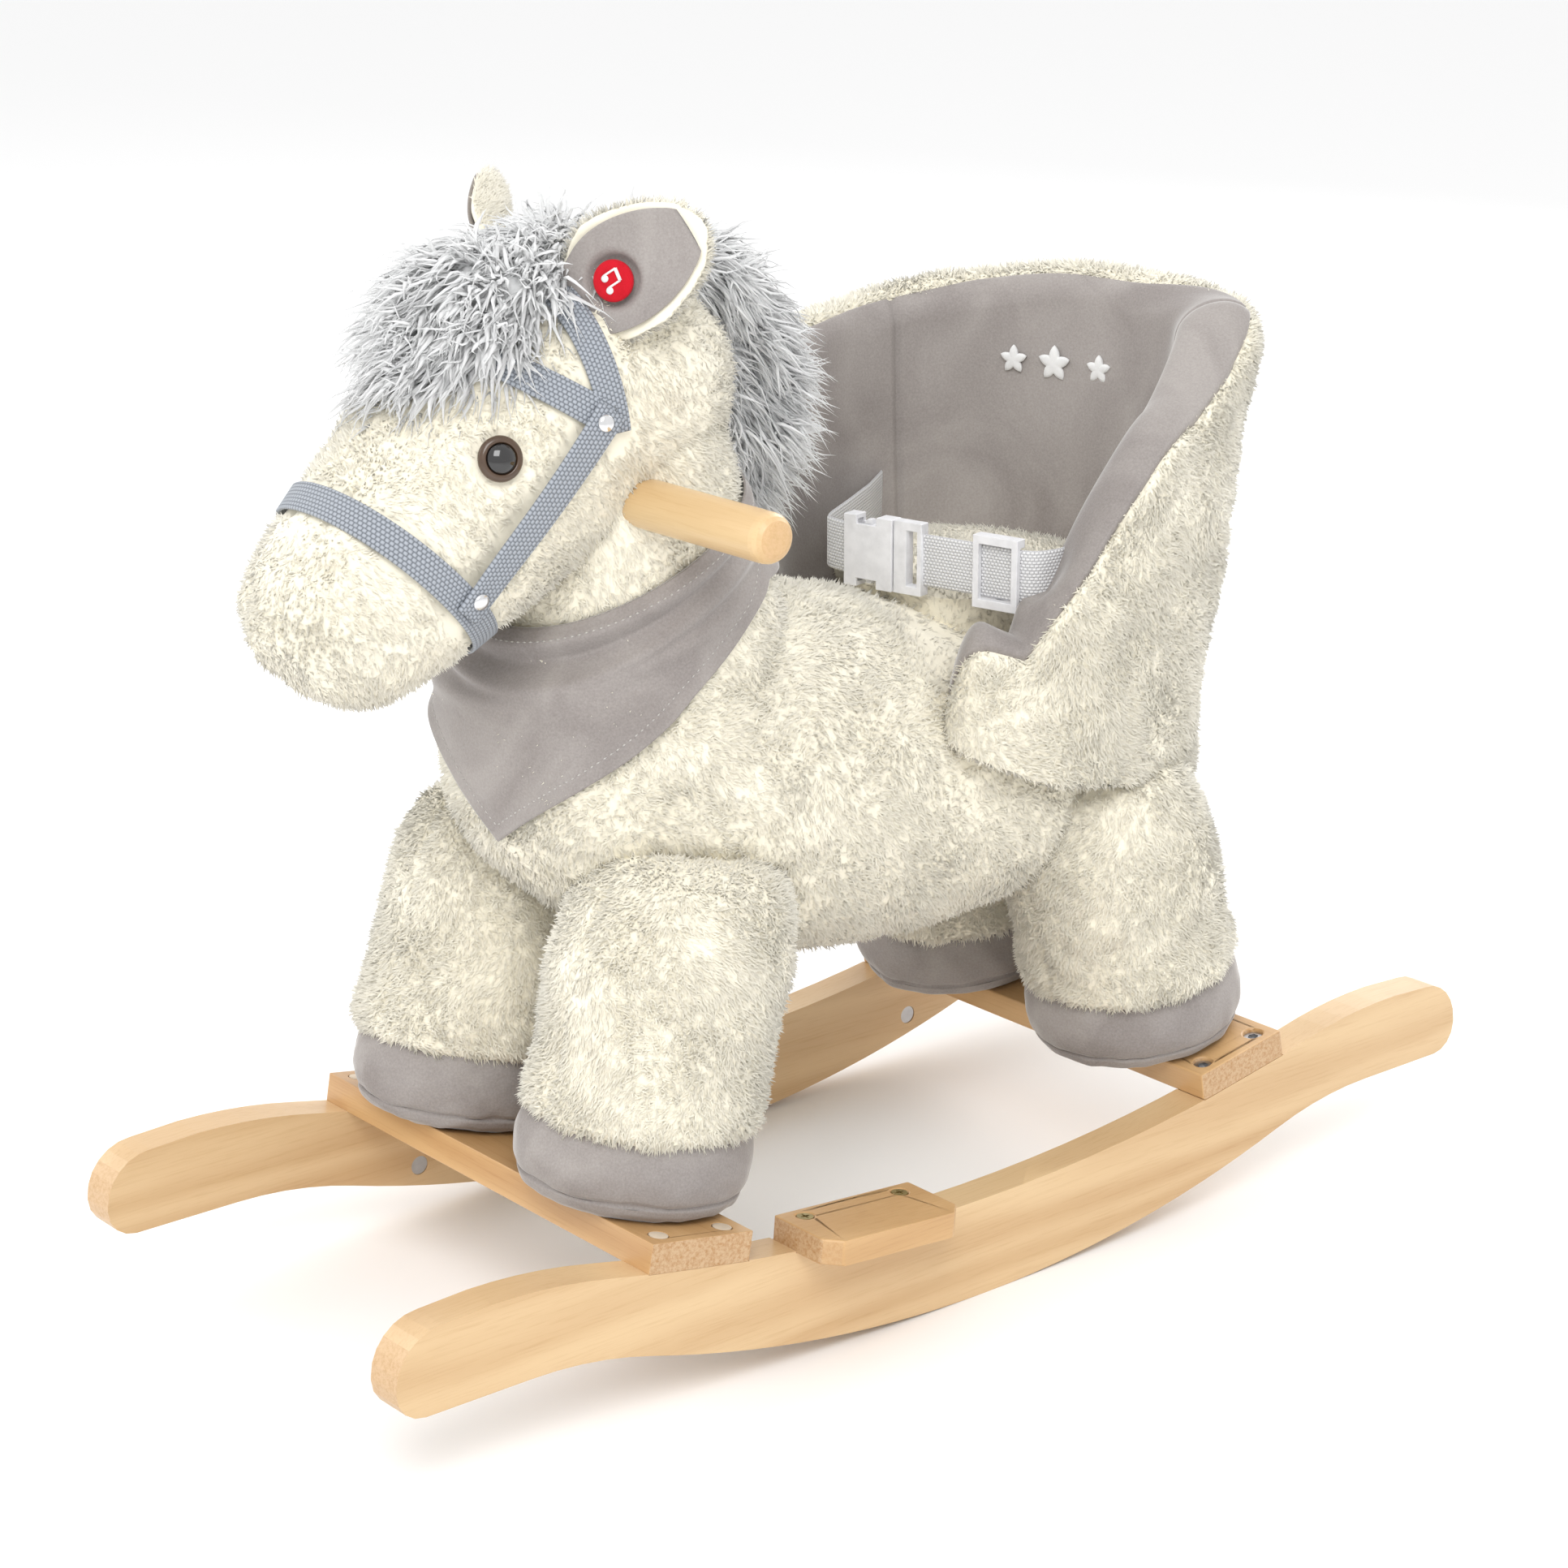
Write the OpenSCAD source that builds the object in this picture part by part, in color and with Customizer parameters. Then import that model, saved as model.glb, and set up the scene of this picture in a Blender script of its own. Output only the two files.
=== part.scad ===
// Plush rocking horse with a wooden rocker base, a bucket seat and a lap belt.
// Millimetres, +Z up. The origin is on the floor, midway between the rockers.
// The horse faces -Y and its left side is +X.

/* [Rocker base] */
// Overall length of each rocker
rocker_len = 700; // [640:4:780]
// Width over the outside faces of both rockers
base_w = 270; // [250:2:300]
// Thickness of a rocker board
rocker_t = 20; // [16:1:24]
// Radius of the rolling edge
roll_r = 710; // [620:10:900]
// Height of the top edge at mid length
rocker_mid_z = 51.5; // [48:0.5:64]
// Radius of the top edge between the crossbars
top_r = 1050; // [900:50:1500]
// Height of the underside of a rocker horn
horn_z = 42; // [36:1:50]

/* [Crossbars] */
// Distance of each crossbar from mid length
bar_y = 182; // [170:1:196]
// Width of a crossbar, along the rockers
bar_w = 60; // [50:1:70]
// Thickness of a crossbar
bar_t = 15; // [12:1:20]
// Distance between the two screws in a crossbar end
bar_screw_gap = 38; // [28:1:42]
// Diameter of the crossbar screws
bar_screw_d = 6; // [5:0.5:7]
// Diameter of the barrel nuts in the rockers
nut_d = 10; // [8:0.5:12]

/* [Footrests] */
// Length of a footrest, along the rocker
foot_len = 86; // [70:1:100]
// Distance that a footrest stands out past its rocker
foot_out = 25; // [15:1:40]
// Thickness of a footrest
foot_t = 13; // [12:1:18]
// Distance of the footrest middle ahead of mid length
foot_y = 81; // [60:1:84]
// Corner cut of a footrest
foot_corner = 8; // [4:1:12]

/* [Handle] */
// Diameter of the handle dowel
handle_d = 23.3; // [20:0.1:28]
// Length of the handle dowel
handle_len = 310; // [280:2:330]
// Height of the handle above the floor
handle_z = 411; // [405:1:420]
// Distance of the handle ahead of mid length
handle_y = 151; // [144:1:154]

/* [Wooden frame] */
// Width of a leg post
post_w = 26; // [22:1:30]
// Height of the top of the leg posts
post_top = 240; // [232:1:246]
// Thickness of the frame boards
board_t = 12; // [10:0.5:15]
// Clearance between the wooden frame and the stuffing
frame_gap = 0.3; // [0.2:0.05:0.6]

/* [Plush body] */
// Half width of the barrel
barrel_w = 93; // [88:1:98]
// Radius of a leg
leg_r = 53; // [48:1:56]
// Distance of the front hooves behind the front crossbar middle
hoof_in_front = 6; // [0:1:14]
// Distance of the rear hooves ahead of the rear crossbar middle
hoof_in_rear = 12; // [0:1:18]
// Distance of a leg from the centre plane
leg_x = 69; // [64:1:72]
// Height of a hoof
hoof_h = 40; // [34:1:46]
// Gap left at the sewn joins
seam_gap = 0.3; // [0.2:0.05:0.6]

/* [Bucket seat] */
// Turn of the seat about the vertical
seat_turn = 14; // [0:1:18]
// Half width of the seat at its rim
seat_w = 130; // [122:1:134]
// Depth of the seat behind its middle
seat_d = 124; // [114:1:128]
// Thickness of the seat wall
wall_t = 31; // [27:1:34]
// Height of the rim at the back of the seat
rim_z = 468; // [450:1:476]

/* [Lap belt] */
// Width of the belt webbing
belt_w = 27; // [25:1:30]
// Thickness of the belt webbing
belt_t = 1.6; // [1.2:0.1:2]
// Height of the middle of the belt
belt_z = 349; // [346:1:356]
// Running clearance of the buckle parts
buckle_gap = 0.25; // [0.2:0.05:0.3]

/* [Bridle] */
// Width of the bridle webbing
bridle_w = 15; // [12:1:18]
// Thickness of the bridle webbing
bridle_t = 2; // [1.5:0.1:2.5]

/* [Ears] */
// Length of an ear
ear_len = 66; // [58:1:74]
// Width of an ear
ear_w = 50; // [44:1:54]
// Diameter of the push button in an ear
button_d = 19; // [16:0.5:20]
// Travel of the push button
button_travel = 1.5; // [1:0.1:1.8]

/* [Hidden] */

wood = "burlywood";
bar_wood = "tan";
fleece = "ivory";
velour = [0.58, 0.55, 0.54];
steel = "silver";
web_grey = "lightslategray";
white = "whitesmoke";

side_n = 20;
eps = 0.05;

// ---------- Rocker outline ----------
rocker_x = base_w/2 - rocker_t/2;
half_len = rocker_len/2;
sweep_a = 17.2;
arc_steps = 14;
// The rolling edge, then a reverse curve that levels out under the horn.
level_r = (horn_z - roll_r*(1 - cos(sweep_a)))/(1 - cos(sweep_a));
roll_edge = [for (i = [-arc_steps:arc_steps]) let(a = sweep_a*i/arc_steps)
    [roll_r*sin(a), roll_r*(1 - cos(a))]];
level_y = (roll_r + level_r)*sin(sweep_a);
horn_under = [for (i = [1:5]) let(a = sweep_a*(1 - i/5))
    [level_y - level_r*sin(a), horn_z - level_r*(1 - cos(a))]];
// The top edge, a crest over the horn, and a round nose.
crest_r = 300;
crest_y = half_len - 52;
join_y = crest_y*top_r/(top_r + crest_r);
join_a = asin(join_y/top_r);
crest_z = rocker_mid_z + (top_r + crest_r)*(1 - cos(join_a));
function top_z(y) = rocker_mid_z + top_r - sqrt(top_r*top_r - y*y);
nose_r = 25;
heel_r = 15;
top_edge = [for (i = [0:10]) let(y = join_y*i/10) [y, top_z(y)]];
nose_y = half_len - nose_r;
crest_end = crest_z - crest_r + sqrt(crest_r*crest_r - pow(nose_y - crest_y, 2));
crest_edge = [for (i = [1:5]) let(a = join_a*(1 - i/5))
    [crest_y - crest_r*sin(a), crest_z - crest_r*(1 - cos(a))]];
nose_edge = [for (i = [0:6]) let(a = 90 - 15*i)
    [nose_y + nose_r*cos(a), crest_end - nose_r + nose_r*sin(a)]];
heel_edge = [for (i = [0:4]) let(a = -22.5*i)
    [half_len - heel_r + heel_r*cos(a), horn_z + heel_r + heel_r*sin(a)]];
function flip(points) = [for (i = [len(points)-1:-1:0]) [-points[i][0], points[i][1]]];
half_top = concat(top_edge, crest_edge, nose_edge, heel_edge);
rocker_outline = concat(roll_edge, horn_under, [for (i = [len(half_top)-1:-1:1]) half_top[i]],
    [for (p = half_top) [-p[0], p[1]]], flip(horn_under));

// ---------- Crossbars and footrests ----------
bar_tilt = asin(bar_y/top_r);
bar_seat_z = top_z(bar_y + bar_w/2)*0.5 + top_z(bar_y - bar_w/2)*0.5 - 0.4;
foot_tilt = asin(foot_y/top_r);
foot_seat_z = top_z(foot_y) - 0.1;
foot_w = rocker_t + foot_out - 2;
foot_x = base_w/2 + foot_out - foot_w/2;
screw_x = base_w/2 - rocker_t/2;
nut_drop = 33;
nut_len = 15;
screw_drop = 40;
head_d = 9.5;
head_h = 5;

// Places its children on a crossbar seat. side is -1 at the front and 1 at the rear.
module at_bar(side) {
    translate([0, side*bar_y, bar_seat_z]) rotate([side*bar_tilt, 0, 0]) children();
}
// Places its children on a footrest seat. side is 1 at the left and -1 at the right.
module at_foot(side) {
    translate([side*foot_x, -foot_y, foot_seat_z]) rotate([-foot_tilt, 0, 0]) children();
}
// Places its children at the middle of each crossbar screw, on the seat.
module each_bar_screw() {
    for (end = [-1, 1], side = [-1, 1], k = [-1, 1])
        at_bar(end) translate([side*screw_x, k*bar_screw_gap/2, 0]) children();
}
// Places its children at the left screws that are nearest to mid length, which have barrel nuts.
module each_inner_screw() {
    for (end = [-1, 1]) at_bar(end) translate([screw_x, -end*bar_screw_gap/2, 0]) children();
}
// A tall block that takes away what stands above a crossbar or footrest seat.
module seat_cut(length, width) {
    translate([-width/2, -length/2, 0]) cube([width, length, 60]);
}

module rocker(side) {
    color(wood) difference() {
        translate([side*rocker_x - rocker_t/2, 0, 0]) rotate([90, 0, 90])
            linear_extrude(rocker_t) polygon(rocker_outline);
        for (end = [-1, 1]) at_bar(end) seat_cut(bar_w, 2*base_w);
        at_foot(side) seat_cut(foot_len, foot_w + 2*foot_out);
        for (end = [-1, 1], k = [-1, 1])
            at_bar(end) translate([side*screw_x, k*bar_screw_gap/2, -screw_drop - 1])
                cylinder(h = screw_drop + 2, d = bar_screw_d + 0.4, $fn = 32);
        each_inner_screw() translate([-rocker_t/2 - 1, 0, -nut_drop]) rotate([0, 90, 0])
            cylinder(h = nut_len + 2, d = nut_d + 0.2, $fn = 40);
        for (k = [-1, 1]) at_foot(side)
            translate([side*(screw_x - foot_x), k*foot_len*0.35, -26])
                cylinder(h = 27, d = 4.4, $fn = 24);
    }
}
module rocker_left() {
    rocker(1);
}
module rocker_right() {
    mirror([1, 0, 0]) rocker(1);
}

module crossbar(side) {
    color(bar_wood) difference() {
        at_bar(side) translate([-base_w/2, -bar_w/2, 0]) cube([base_w, bar_w, bar_t]);
        for (x = [-1, 1], k = [-1, 1])
            at_bar(side) translate([x*screw_x, k*bar_screw_gap/2, 0]) {
                translate([0, 0, -1]) cylinder(h = bar_t + 2, d = bar_screw_d + 0.4, $fn = 32);
                translate([0, 0, bar_t - head_h - 2]) cylinder(h = 20, d = head_d + 0.6, $fn = 40);
            }
        for (x = [-1, 1]) leg_axis(x, side) translate([0, 0, -bar_t - 1])
            cylinder(h = bar_t + 2, d = bolt_d + 0.4, $fn = 32);
    }
}
module crossbar_front() {
    crossbar(-1);
}
module crossbar_rear() {
    crossbar(1);
}

module footrest(side) {
    color(bar_wood) difference() {
        at_foot(side) linear_extrude(foot_t)
            polygon([[-foot_w/2, -foot_len/2], [foot_w/2 - foot_corner, -foot_len/2],
                [foot_w/2, foot_corner - foot_len/2], [foot_w/2, foot_len/2 - foot_corner],
                [foot_w/2 - foot_corner, foot_len/2], [-foot_w/2, foot_len/2]]);
        for (k = [-1, 1]) at_foot(side)
            translate([side*(screw_x - foot_x), k*foot_len*0.35, -1]) {
                cylinder(h = foot_t + 2, d = 4.4, $fn = 24);
                translate([0, 0, foot_t - 2.4]) cylinder(h = 8, d = 8.6, $fn = 36);
            }
    }
}
module footrest_left() {
    footrest(1);
}
module footrest_right() {
    mirror([1, 0, 0]) footrest(1);
}

module crossbar_screws() {
    color(steel) each_bar_screw() {
        translate([0, 0, -screw_drop])
            cylinder(h = screw_drop + bar_t - head_h - 1.9, d = bar_screw_d, $fn = 32);
        difference() {
            translate([0, 0, bar_t - head_h - 2]) cylinder(h = head_h, d = head_d, $fn = 40);
            translate([0, 0, bar_t - 5]) cylinder(h = 6, r = 2.9, $fn = 6);
        }
    }
}
module barrel_nuts() {
    color(steel) for (side = [0, 1]) mirror([side, 0, 0]) difference() {
        each_inner_screw() translate([0.5 - rocker_t/2, 0, -nut_drop]) rotate([0, 90, 0])
            cylinder(h = nut_len, d = nut_d, $fn = 40);
        each_inner_screw() translate([0, 0, -nut_drop - 8])
            cylinder(h = nut_drop + 9, d = bar_screw_d + 0.1, $fn = 32);
    }
}
module footrest_screws() {
    color("goldenrod") for (side = [-1, 1], k = [-1, 1])
        mirror([side > 0 ? 0 : 1, 0, 0]) at_foot(1)
            translate([screw_x - foot_x, k*foot_len*0.35, 0]) difference() {
                union() {
                    translate([0, 0, -24]) cylinder(h = foot_t + 24 - 2.2, d = 4, $fn = 24);
                    translate([0, 0, foot_t - 2.3]) cylinder(h = 2, d = 8.2, $fn = 36);
                }
                for (a = [0, 90]) rotate([0, 0, a])
                    translate([-2.4, -0.5, foot_t - 1.5]) cube([4.8, 1, 3]);
            }
}

// ---------- Legs and wooden frame ----------
bolt_d = 8;
leg_lean = 17;
post_lean = 13;
washer_t = 2;
rail_h = 28;
rail_x = leg_x - post_w/2 - board_t/2 - eps;
rail_front = -146;
rail_rear = 158;
rail_z = post_top - rail_h - 2;
cross_rail_y = [-115, 100];
board_w = 2*(rail_x + board_t/2);
board_y = [-10, 140];
neck_w = 44;
neck_t = 36;
function hoof_in(side) = side < 0 ? hoof_in_front : hoof_in_rear;

// Places its children on the sole of a leg, square to the crossbar.
module leg_axis(x, side) {
    translate([x*leg_x, side*bar_y, bar_seat_z]) rotate([side*bar_tilt, 0, 0])
        translate([0, -side*hoof_in(side), bar_t]) children();
}
// The upright of a leg, which leans towards the barrel and stands on the crossbar.
module post(x, side, grow) {
    difference() {
        intersection() {
            translate(sole_at(x, side)) rotate([side*post_lean, 0, 0])
                translate([-post_w/2 - grow, -post_w/2 - grow, -30])
                    cube([post_w + 2*grow, post_w + 2*grow, 300]);
            translate([-200, -300, 0]) cube([400, 600, post_top + grow]);
        }
        at_bar(side) translate([-200, -200, -100]) cube([400, 400, 100 + bar_t]);
    }
}
module leg_posts() {
    color(wood) difference() {
        for (x = [-1, 1], side = [-1, 1]) post(x, side, 0);
        for (x = [-1, 1], side = [-1, 1]) leg_axis(x, side) translate([0, 0, -1])
            cylinder(h = 41, d = bolt_d + 0.1, $fn = 32);
    }
}
module leg_bolts() {
    color(steel) for (x = [-1, 1], side = [-1, 1]) leg_axis(x, side) {
        translate([0, 0, -bar_t - washer_t - 0.1])
            cylinder(h = bar_t + washer_t + 38, d = bolt_d, $fn = 32);
        translate([0, 0, -bar_t - washer_t]) cylinder(h = washer_t, d = 20, $fn = 40);
        translate([0, 0, -bar_t - washer_t - 5]) cylinder(h = 5, d = 13, $fn = 6);
    }
}
module side_rails(grow = 0) {
    color(wood) for (x = [-1, 1])
        translate([x*rail_x - board_t/2 - grow, rail_front - grow, rail_z - grow])
            cube([board_t + 2*grow, rail_rear - rail_front + 2*grow, rail_h + 2*grow]);
}
module cross_rails(grow = 0) {
    color(wood) for (y = cross_rail_y)
        translate([eps + board_t/2 - rail_x - grow, y - board_t/2 - grow, rail_z - grow])
            cube([2*rail_x - board_t - 2*eps + 2*grow, board_t + 2*grow, rail_h + 2*grow]);
}
module neck_post() {
    color(wood) difference() {
        neck_block(0);
        handle_bar(handle_len, handle_d + 0.1);
    }
}
neck_foot_z = rail_z + rail_h + eps;
// The upright that holds the handle has a foot on the front cross rail.
module neck_block(grow) {
    translate([-neck_w/2 - grow, -handle_y - neck_t/2 - grow, neck_foot_z - grow])
        cube([neck_w + 2*grow, neck_t + 2*grow, handle_z + 26 - neck_foot_z + 2*grow]);
    translate([-neck_w/2 - grow, -handle_y - neck_t/2 - grow, neck_foot_z - grow])
        cube([neck_w + 2*grow, 60 + 2*grow, 14 + 2*grow]);
}
module handle_bar(length, d) {
    translate([-length/2, -handle_y, handle_z]) rotate([0, 90, 0]) cylinder(h = length, d = d, $fn = 64);
}
module handle() {
    end_r = handle_d*0.32;
    end_curve = [for (i = [0:5]) let(a = 18*i)
        [handle_d/2 - end_r + end_r*sin(a), handle_len/2 - end_r + end_r*cos(a)]];
    color(wood) translate([0, -handle_y, handle_z]) rotate([0, 90, 0])
        rotate_extrude($fn = 64) polygon(concat(
            [[0, -handle_len/2]],
            [for (p = end_curve) [p[0], -p[1]]],
            [for (i = [5:-1:0]) end_curve[i]],
            [[0, handle_len/2]]));
}
module seat_board(grow = 0) {
    color(wood) translate([-board_w/2 - grow, board_y[0] - grow, neck_foot_z - grow])
        cube([board_w + 2*grow, board_y[1] - board_y[0] + 2*grow, board_t + 2*grow]);
}
module frame_screws() {
    color(steel) for (x = [-1, 1], y = cross_rail_y)
        translate([x*(rail_x + board_t/2 + eps), y, rail_z + rail_h/2]) rotate([0, x*90, 0])
            cylinder(h = screw_head_t, d = screw_head_d, $fn = 24);
}
screw_head_d = 9;
screw_head_t = 3;
// Everything that the stuffing has to leave room for.
module frame_room(grow) {
    for (x = [-1, 1], side = [-1, 1]) post(x, side, grow);
    side_rails(grow);
    cross_rails(grow);
    neck_block(grow);
    seat_board(grow);
    for (x = [-1, 1], y = cross_rail_y)
        translate([x*(rail_x + board_t/2 + screw_head_t/2), y, rail_z + rail_h/2])
            cube([screw_head_t + 2, screw_head_d + 2, screw_head_d + 2], center = true);
}

// ---------- Lofted skins ----------
// A closed skin over rings of equal point count, advancing along the normal of the rings.
module skin(rings) {
    n = len(rings[0]);
    m = len(rings);
    polyhedron(
        points = [for (ring = rings) each ring],
        faces = concat(
            [[for (i = [0:n-1]) i]],
            [for (j = [0:m-2], i = [0:n-1]) [j*n + i, (j+1)*n + (i+1)%n, j*n + (i+1)%n]],
            [for (j = [0:m-2], i = [0:n-1]) [j*n + i, (j+1)*n + i, (j+1)*n + (i+1)%n]],
            [[for (i = [n-1:-1:0]) (m-1)*n + i]]),
        convexity = 8);
}
function power(x, p) = sign(x)*pow(abs(x), p);
function unit(v) = v/norm(v);
// A super-ellipse ring round centre c, square to w, with half sizes a along u and b along w x u.
function ring(c, w, a, b, e = 2, u = [1, 0, 0]) = let(v = unit(cross(w, u)))
    [for (i = [0:side_n-1]) let(t = 360*i/side_n)
        c + u*a*power(cos(t), 2/e) + v*b*power(sin(t), 2/e)];

// Barrel stations from chest to rump: distance, middle height, half width, half height.
barrel = [
    [-202, 288, 0.22, 20], [-196, 288, 0.46, 42], [-181, 285, 0.68, 62], [-157, 279, 0.84, 76],
    [-122, 269, 0.94, 88], [-80, 259, 0.98, 93], [-30, 250, 1, 93], [20, 243, 1, 88],
    [70, 237, 1.01, 81], [120, 236, 1, 78], [160, 237, 0.96, 76], [190, 239, 0.86, 68],
    [209, 241, 0.66, 53], [219, 242, 0.38, 30]];
module barrel_skin(grow = 0) {
    skin([for (i = [len(barrel)-1:-1:0]) let(s = barrel[i])
        ring([0, s[0] + sign(s[0])*grow, s[1]], [0, -1, 0], s[2]*barrel_w + grow, s[3] + grow, 2.15)]);
}
module torso() {
    color(fleece) difference() {
        barrel_skin();
        frame_room(frame_gap);
    }
}

// Neck stations, upwards: y, z, half width, half depth.
neck = [
    [-112, 300, 78, 82], [-116, 340, 72, 74], [-122, 375, 68, 66], [-130, 405, 66, 62],
    [-137, 435, 64, 58], [-140, 460, 58, 50]];
// Head stations, from the back of the skull to the nose: y, z, half width, half height.
head = [
    [-92, 492, 20, 22], [-98, 488, 40, 42], [-112, 478, 57, 57], [-135, 462, 66, 66],
    [-160, 447, 67, 67], [-186, 433, 64, 64], [-212, 417, 60, 60], [-237, 398, 55, 54],
    [-261, 380, 51, 49], [-281, 366, 46, 43], [-297, 355, 36, 34], [-307, 348, 20, 19]];
head_dir = unit([0, -118, -86]);
module head_form(grow = 0) {
    skin([for (s = head) ring([0, s[0], s[1]], head_dir, s[2] + grow, s[3] + grow, 2.1)]);
}
module neck_form(grow = 0) {
    skin([for (s = neck) ring([0, s[0], s[1]], [0, 0, 1], s[2] + grow, s[3] + grow, 2.1)]);
}
module head_neck() {
    color(fleece) difference() {
        union() {
            head_form();
            neck_form();
        }
        barrel_skin(seam_gap);
        neck_block(frame_gap);
        handle_bar(handle_len, handle_d + 2*frame_gap);
        for (side = [0, 1]) mirror([side, 0, 0]) in_ear() button_room(button_d + 6);
    }
}

// Leg stations, upwards from the hoof: height and share of the leg radius.
leg_stations = [[0, 1.02], [30, 1.03], [60, 1.04], [88, 1.02], [106, 0.94], [120, 0.78], [128, 0.5]];
hoof_stations = [[0, 0.9], [6, 1.0], [16, 1.07], [28, 1.06], [40, 1.03]];
function tilt_dir(side, a) = [0, -side*sin(a), cos(a)];
// The middle of a hoof sole, on the top face of its crossbar.
function sole_at(x, side) = [x*leg_x, side*bar_y, bar_seat_z] + bar_t*tilt_dir(side, bar_tilt)
    - side*hoof_in(side)*[0, cos(bar_tilt), side*sin(bar_tilt)];
function hoof_ring(x, side, h, r) = let(d = tilt_dir(side, bar_tilt)) ring(sole_at(x, side) + d*h, d, r, r);
module hoof_form(x, side) {
    skin([for (s = hoof_stations) hoof_ring(x, side, s[0]*hoof_h/40, s[1]*leg_r)]);
}
module leg_form(x, side, grow = 0) {
    sole_dir = tilt_dir(side, bar_tilt);
    cuff = sole_at(x, side) + sole_dir*(hoof_h + eps);
    skin([for (s = leg_stations)
        ring(cuff + (s[0] > 100 ? s[0] + grow : s[0])*tilt_dir(side, leg_lean), sole_dir,
            s[1]*leg_r + grow, s[1]*leg_r + grow)]);
}
module leg(x, side) {
    color(fleece) difference() {
        leg_form(x, side);
        barrel_skin(seam_gap);
        post(x, side, frame_gap);
        side_rails(frame_gap);
    }
}
module hoof(x, side) {
    color(velour) difference() {
        hoof_form(x, side);
        post(x, side, frame_gap);
    }
}
module leg_front_left() {
    leg(1, -1);
}
module leg_front_right() {
    leg(-1, -1);
}
module leg_rear_left() {
    leg(1, 1);
}
module leg_rear_right() {
    leg(-1, 1);
}
module hoof_front_left() {
    hoof(1, -1);
}
module hoof_front_right() {
    hoof(-1, -1);
}
module hoof_rear_left() {
    hoof(1, 1);
}
module hoof_rear_right() {
    hoof(-1, 1);
}

// ---------- Bucket seat ----------
seat_y = 105;
squareness = 0.76;
seat_front = 132;
shell_t = wall_t*0.5;
ply_t = 4;
wall_steps = 26;
wall_start = -140;
wall_end = 140;
seat_foot_z = 214;

module in_seat() {
    translate([0, seat_y, 0]) rotate([0, 0, seat_turn]) children();
}
// Point on the seat wall at angle t from the back, moved in by inset, at height z.
function wall_point(t, inset, z) = let(
    taper = (z - 425)*0.1,
    a = seat_w - inset + taper,
    b = (cos(t) > 0 ? seat_d + taper*1.4 : seat_front) - inset,
    s = sin(t), c = cos(t))
    [a*power(s, squareness), b*power(c, squareness), z];
// Height of the rim: nearly level round the back, then down to the barrel at both ends.
function rim(t) = t > 0
    ? rim_z - 0.05*t - 170*pow(max(0, t - 62)/78, 1.45)
    : rim_z + 0.28*t - 130*pow(max(0, -t - 100)/40, 1.3);
function wall_low(t) = seat_foot_z + 26*pow(abs(t)/140, 2)*2;
module seat_wall(inset_out, inset_in, drop, foot) {
    skin([for (i = [0:wall_steps]) let(
        t = wall_start + (wall_end - wall_start)*i/wall_steps,
        lo = wall_low(t) + foot,
        hi = max(rim(t) - drop, lo + 16),
        mid = (hi + lo)/2,
        round = min(4, (inset_in - inset_out)*0.3))
        [wall_point(t, inset_out, lo), wall_point(t, inset_out, mid),
         wall_point(t, inset_out, hi - 6), wall_point(t, inset_out + round, hi),
         wall_point(t, inset_in - round/4, hi), wall_point(t, inset_in, hi - 6),
         wall_point(t, inset_in, mid), wall_point(t, inset_in, lo)]]);
}
module seat_shell() {
    color(fleece) difference() {
        in_seat() seat_wall(0, shell_t, 0, 0);
        barrel_skin(seam_gap);
        for (x = [-1, 1]) leg_form(x, 1, seam_gap);
    }
}
module back_board() {
    color(wood) difference() {
        in_seat() seat_wall(shell_t + seam_gap, shell_t + seam_gap + ply_t, 14, 40);
        barrel_skin(seam_gap);
    }
}
module seat_lining() {
    color(velour) difference() {
        in_seat() seat_wall(shell_t + ply_t + 2*seam_gap, wall_t, 3, 60);
        barrel_skin(seam_gap);
        belt_room();
    }
}
// Point on the seat pad's edge: it fills the bucket behind, and only half of it in front.
function pad_point(t, share, z) = let(p = wall_point(t, wall_t + 2, 330)*share)
    [p[0], p[1]*(cos(t) < 0 ? 0.5 : 1), z];
module seat_pad() {
    color(fleece) difference() {
        in_seat() skin([for (s = [[300, 0.97], [328, 0.99], [336, 0.9]])
            [for (i = [0:side_n-1]) pad_point(-360*(i + 0.5)/side_n, s[1], s[0])]]);
        barrel_skin(seam_gap);
        in_seat() seat_wall(shell_t, wall_t + seam_gap, -20, -20);
        belt_room();
    }
}

// ---------- Ears, eyes and hair ----------
ear_base = [37, -166, 501];
ear_dir = unit([0.642, 0.52, 0.555]);
ear_face = unit([0.557, -0.82, 0.13]);
ear_side = cross(ear_face, ear_dir);
ear_t = 14;
button_rim = 1.4;
module in_ear() {
    multmatrix([
        [ear_side[0], ear_dir[0], ear_face[0], ear_base[0]],
        [ear_side[1], ear_dir[1], ear_face[1], ear_base[1]],
        [ear_side[2], ear_dir[2], ear_face[2], ear_base[2]],
        [0, 0, 0, 1]]) children();
}
ear_stations = [[-12, 0.5], [0, 0.72], [14, 0.94], [28, 1], [42, 0.9], [54, 0.66], [62, 0.36], [66, 0.1]];
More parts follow.
